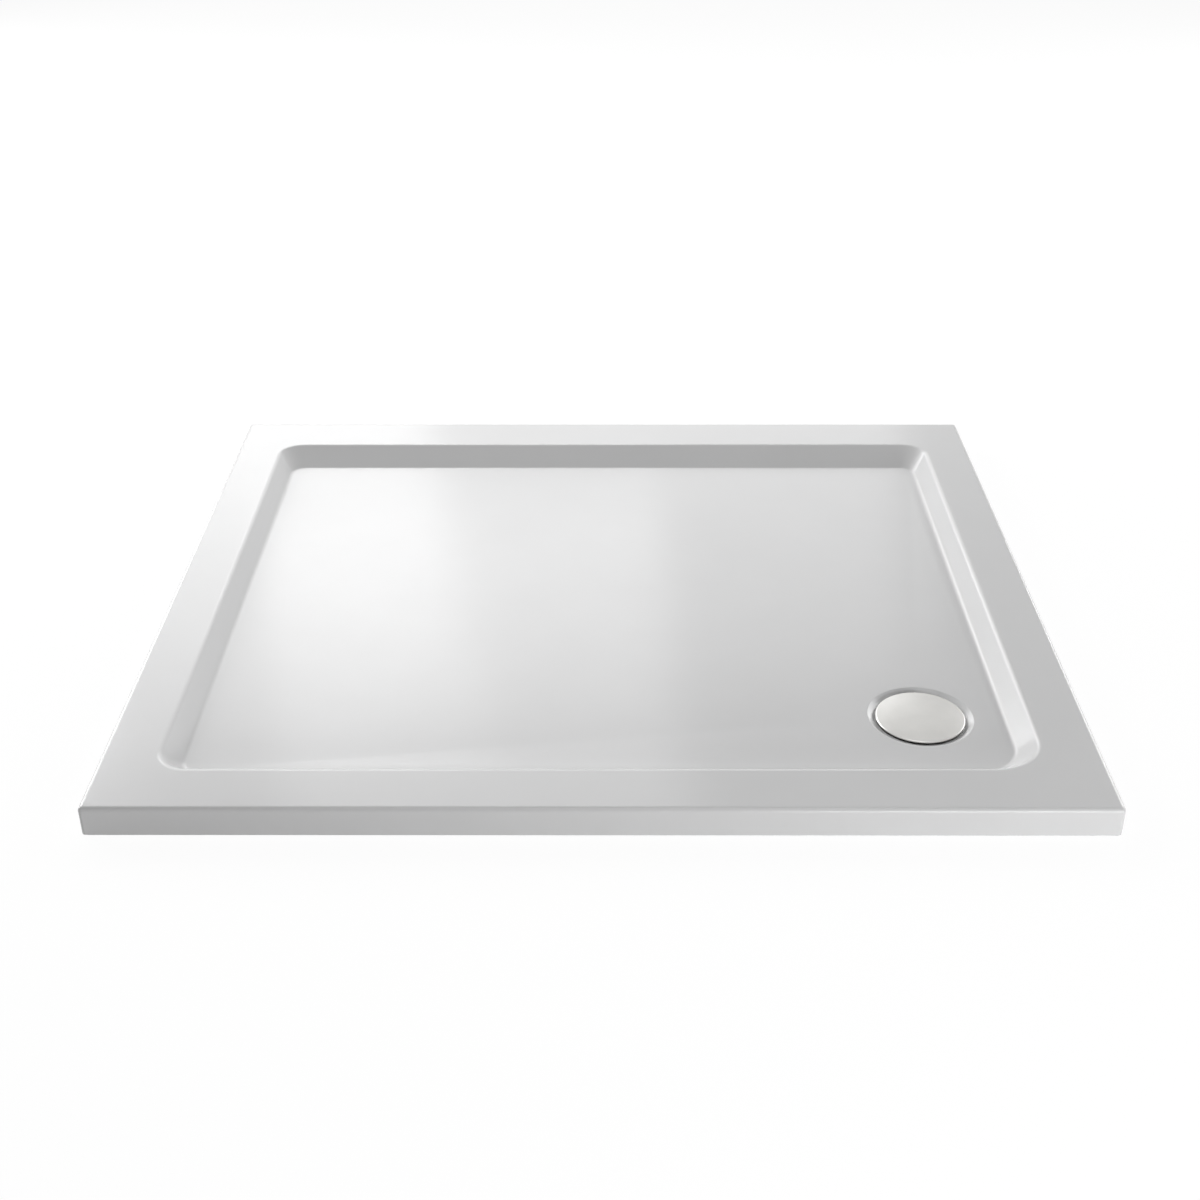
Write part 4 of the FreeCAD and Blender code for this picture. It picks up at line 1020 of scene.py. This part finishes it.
# ---------------------------------------------------------------- outlet socket
# The threaded socket for a 40 mm waste pipe, solvent-welded over the throat of the bowl. The
# pipe stops on a shoulder, and the mouth is bevelled for the cone seal.
OUTLET_DEPTH = 0.030
THROAT_RADIUS = 0.0189
PIPE_RADIUS = 0.02015
SOCKET_ROOT, SOCKET_CREST = 0.02185, 0.02255
COLLAR_START, SOCKET_START, SOCKET_END = 0.048, 0.054, 0.082
COLLAR_BEVEL, MOUTH_BEVEL = 0.0004, 0.0016
THREAD_PITCH = 0.003
THREAD_START = SOCKET_END - 0.018
THREAD_STEPS = 16  # rows for each turn of the thread
ROUND_STEPS = 120
OUTLET_PLACE = Matrix.Translation((WASTE.x, WASTE.y, -OUTLET_DEPTH))
OUTLET = OUTLET_PLACE @ Matrix.Rotation(math.radians(-90.0), 4, "X")
socket_rows = [
    (THROAT_RADIUS, COLLAR_START),
    (SOCKET_ROOT - COLLAR_BEVEL, COLLAR_START),
    (SOCKET_ROOT, COLLAR_START + COLLAR_BEVEL),
    *thread_rows(
        SOCKET_ROOT, SOCKET_CREST, THREAD_START, SOCKET_END - 0.0002, THREAD_PITCH, THREAD_STEPS
    ),
    (SOCKET_ROOT - 0.0001, SOCKET_END),
    (PIPE_RADIUS + MOUTH_BEVEL, SOCKET_END),
    (PIPE_RADIUS, SOCKET_END - MOUTH_BEVEL),
    (PIPE_RADIUS, SOCKET_START),
    (THROAT_RADIUS, SOCKET_START),
]
socket_mesh = lathe("outlet_socket_moulding", socket_rows, ROUND_STEPS)
socket_piece = bpy.data.objects.new("outlet_socket_moulding", socket_mesh)
scene.collection.objects.link(socket_piece)
socket_piece.data.transform(OUTLET)
smooth_by_angle(socket_piece, EDGE_ANGLE)
dressed(socket_piece, trap_plastic, "outlet_socket", "tray", "trap_plastic")


# ---------------------------------------------------------------- slip ring
# A thin nylon washer between the nut and the cone seal, so that the seal is pressed straight
# in and not twisted while the nut turns.
nylon = moulded("natural_nylon", (0.5, 0.48, 0.4), (0.56, 0.54, 0.46), 0.34, 0.46, 0.1)
WASHER_ROUND = 0.00015
slip_ring = refined("outlet_slip_ring_washer", "outlet_slip_ring", WASHER_ROUND)
dressed(slip_ring, nylon, "outlet_slip_ring", "slip_ring", "slip_ring_nylon")


# ---------------------------------------------------------------- outlet nut
# A white moulded nut with ribs for the fingers, which runs on the socket's thread and grips
# the waste pipe through the slip ring and the cone seal.
NUT_BORE, NUT_RADIUS, NUT_MOUTH = 0.0229, 0.0261, 0.0206
NUT_START, RING_END, NUT_END = 0.067, 0.0895, 0.0925
NUT_BEVEL = 0.0012
NUT_GROOVE = 0.0007
RIB_COUNT, RIB_RADIUS, RIB_SIDES = 18, 0.0015, 20
SMALL_BEVEL = 0.0004

ribbed = GeometryMaker("ribbed_nut", (
    ("Rib Count", "NodeSocketInt", RIB_COUNT),
    ("Circle Radius", "NodeSocketFloat", NUT_RADIUS),
    ("Rib Radius", "NodeSocketFloat", RIB_RADIUS),
    ("Rib Start", "NodeSocketFloat", NUT_START + NUT_BEVEL / 2),
    ("Rib Length", "NodeSocketFloat", NUT_END - NUT_START - 2 * NUT_BEVEL),
))
rib = ribbed.node("GeometryNodeMeshCylinder")
rib.inputs["Vertices"].default_value = RIB_SIDES
ribbed.link(ribbed.named("Rib Radius"), rib.inputs["Radius"])
ribbed.link(ribbed.named("Rib Length"), rib.inputs["Depth"])
rib_place = ribbed.node("ShaderNodeCombineXYZ")
half_rib = ribbed.math("MULTIPLY", ribbed.named("Rib Length"), 0.5)
ribbed.link(ribbed.math("ADD", ribbed.named("Rib Start"), half_rib), rib_place.inputs["Z"])
rib_up = ribbed.node("GeometryNodeTransform")
ribbed.link(rib.outputs["Mesh"], rib_up.inputs["Geometry"])
ribbed.link(rib_place.outputs[0], rib_up.inputs["Translation"])
rib_stand = ribbed.node("GeometryNodeMeshCircle")
ribbed.link(ribbed.named("Rib Count"), rib_stand.inputs["Vertices"])
ribbed.link(ribbed.named("Circle Radius"), rib_stand.inputs["Radius"])
rib_placed = ribbed.node("GeometryNodeInstanceOnPoints")
ribbed.link(rib_stand.outputs["Mesh"], rib_placed.inputs["Points"])
ribbed.link(rib_up.outputs["Geometry"], rib_placed.inputs["Instance"])
both = ribbed.node("GeometryNodeJoinGeometry")
ribbed.link(ribbed.named("Geometry"), both.inputs["Geometry"])
ribbed.link(rib_placed.outputs["Instances"], both.inputs["Geometry"])
ribbed.finish(both.outputs["Geometry"])

nut_rows = [
    (NUT_BORE + SMALL_BEVEL, NUT_START),
    (NUT_RADIUS - SMALL_BEVEL, NUT_START),
    (NUT_RADIUS, NUT_START + SMALL_BEVEL),
    (NUT_RADIUS, NUT_END - NUT_BEVEL),
    (NUT_RADIUS - NUT_BEVEL, NUT_END),
    (NUT_MOUTH + SMALL_BEVEL, NUT_END),
    (NUT_MOUTH, NUT_END - SMALL_BEVEL),
    (NUT_MOUTH, RING_END),
    (NUT_BORE, RING_END),
    *reversed(thread_rows(
        NUT_BORE,
        NUT_BORE + NUT_GROOVE,
        NUT_START + SMALL_BEVEL,
        SOCKET_END,
        THREAD_PITCH,
        THREAD_STEPS,
    )),
]
nut_plastic = moulded("nut_polypropylene", (0.63, 0.63, 0.62), (0.7, 0.7, 0.69), 0.3, 0.44, 0.14)
nut_body = lathe("outlet_nut_body", nut_rows, ROUND_STEPS)
nut = made_by(ribbed, "outlet_nut_moulding", nut_plastic, nut_body)
nut.data.transform(OUTLET)
smooth_by_angle(nut, EDGE_ANGLE)
dressed(nut, nut_plastic, "outlet_nut", "nut", "nut_plastic")
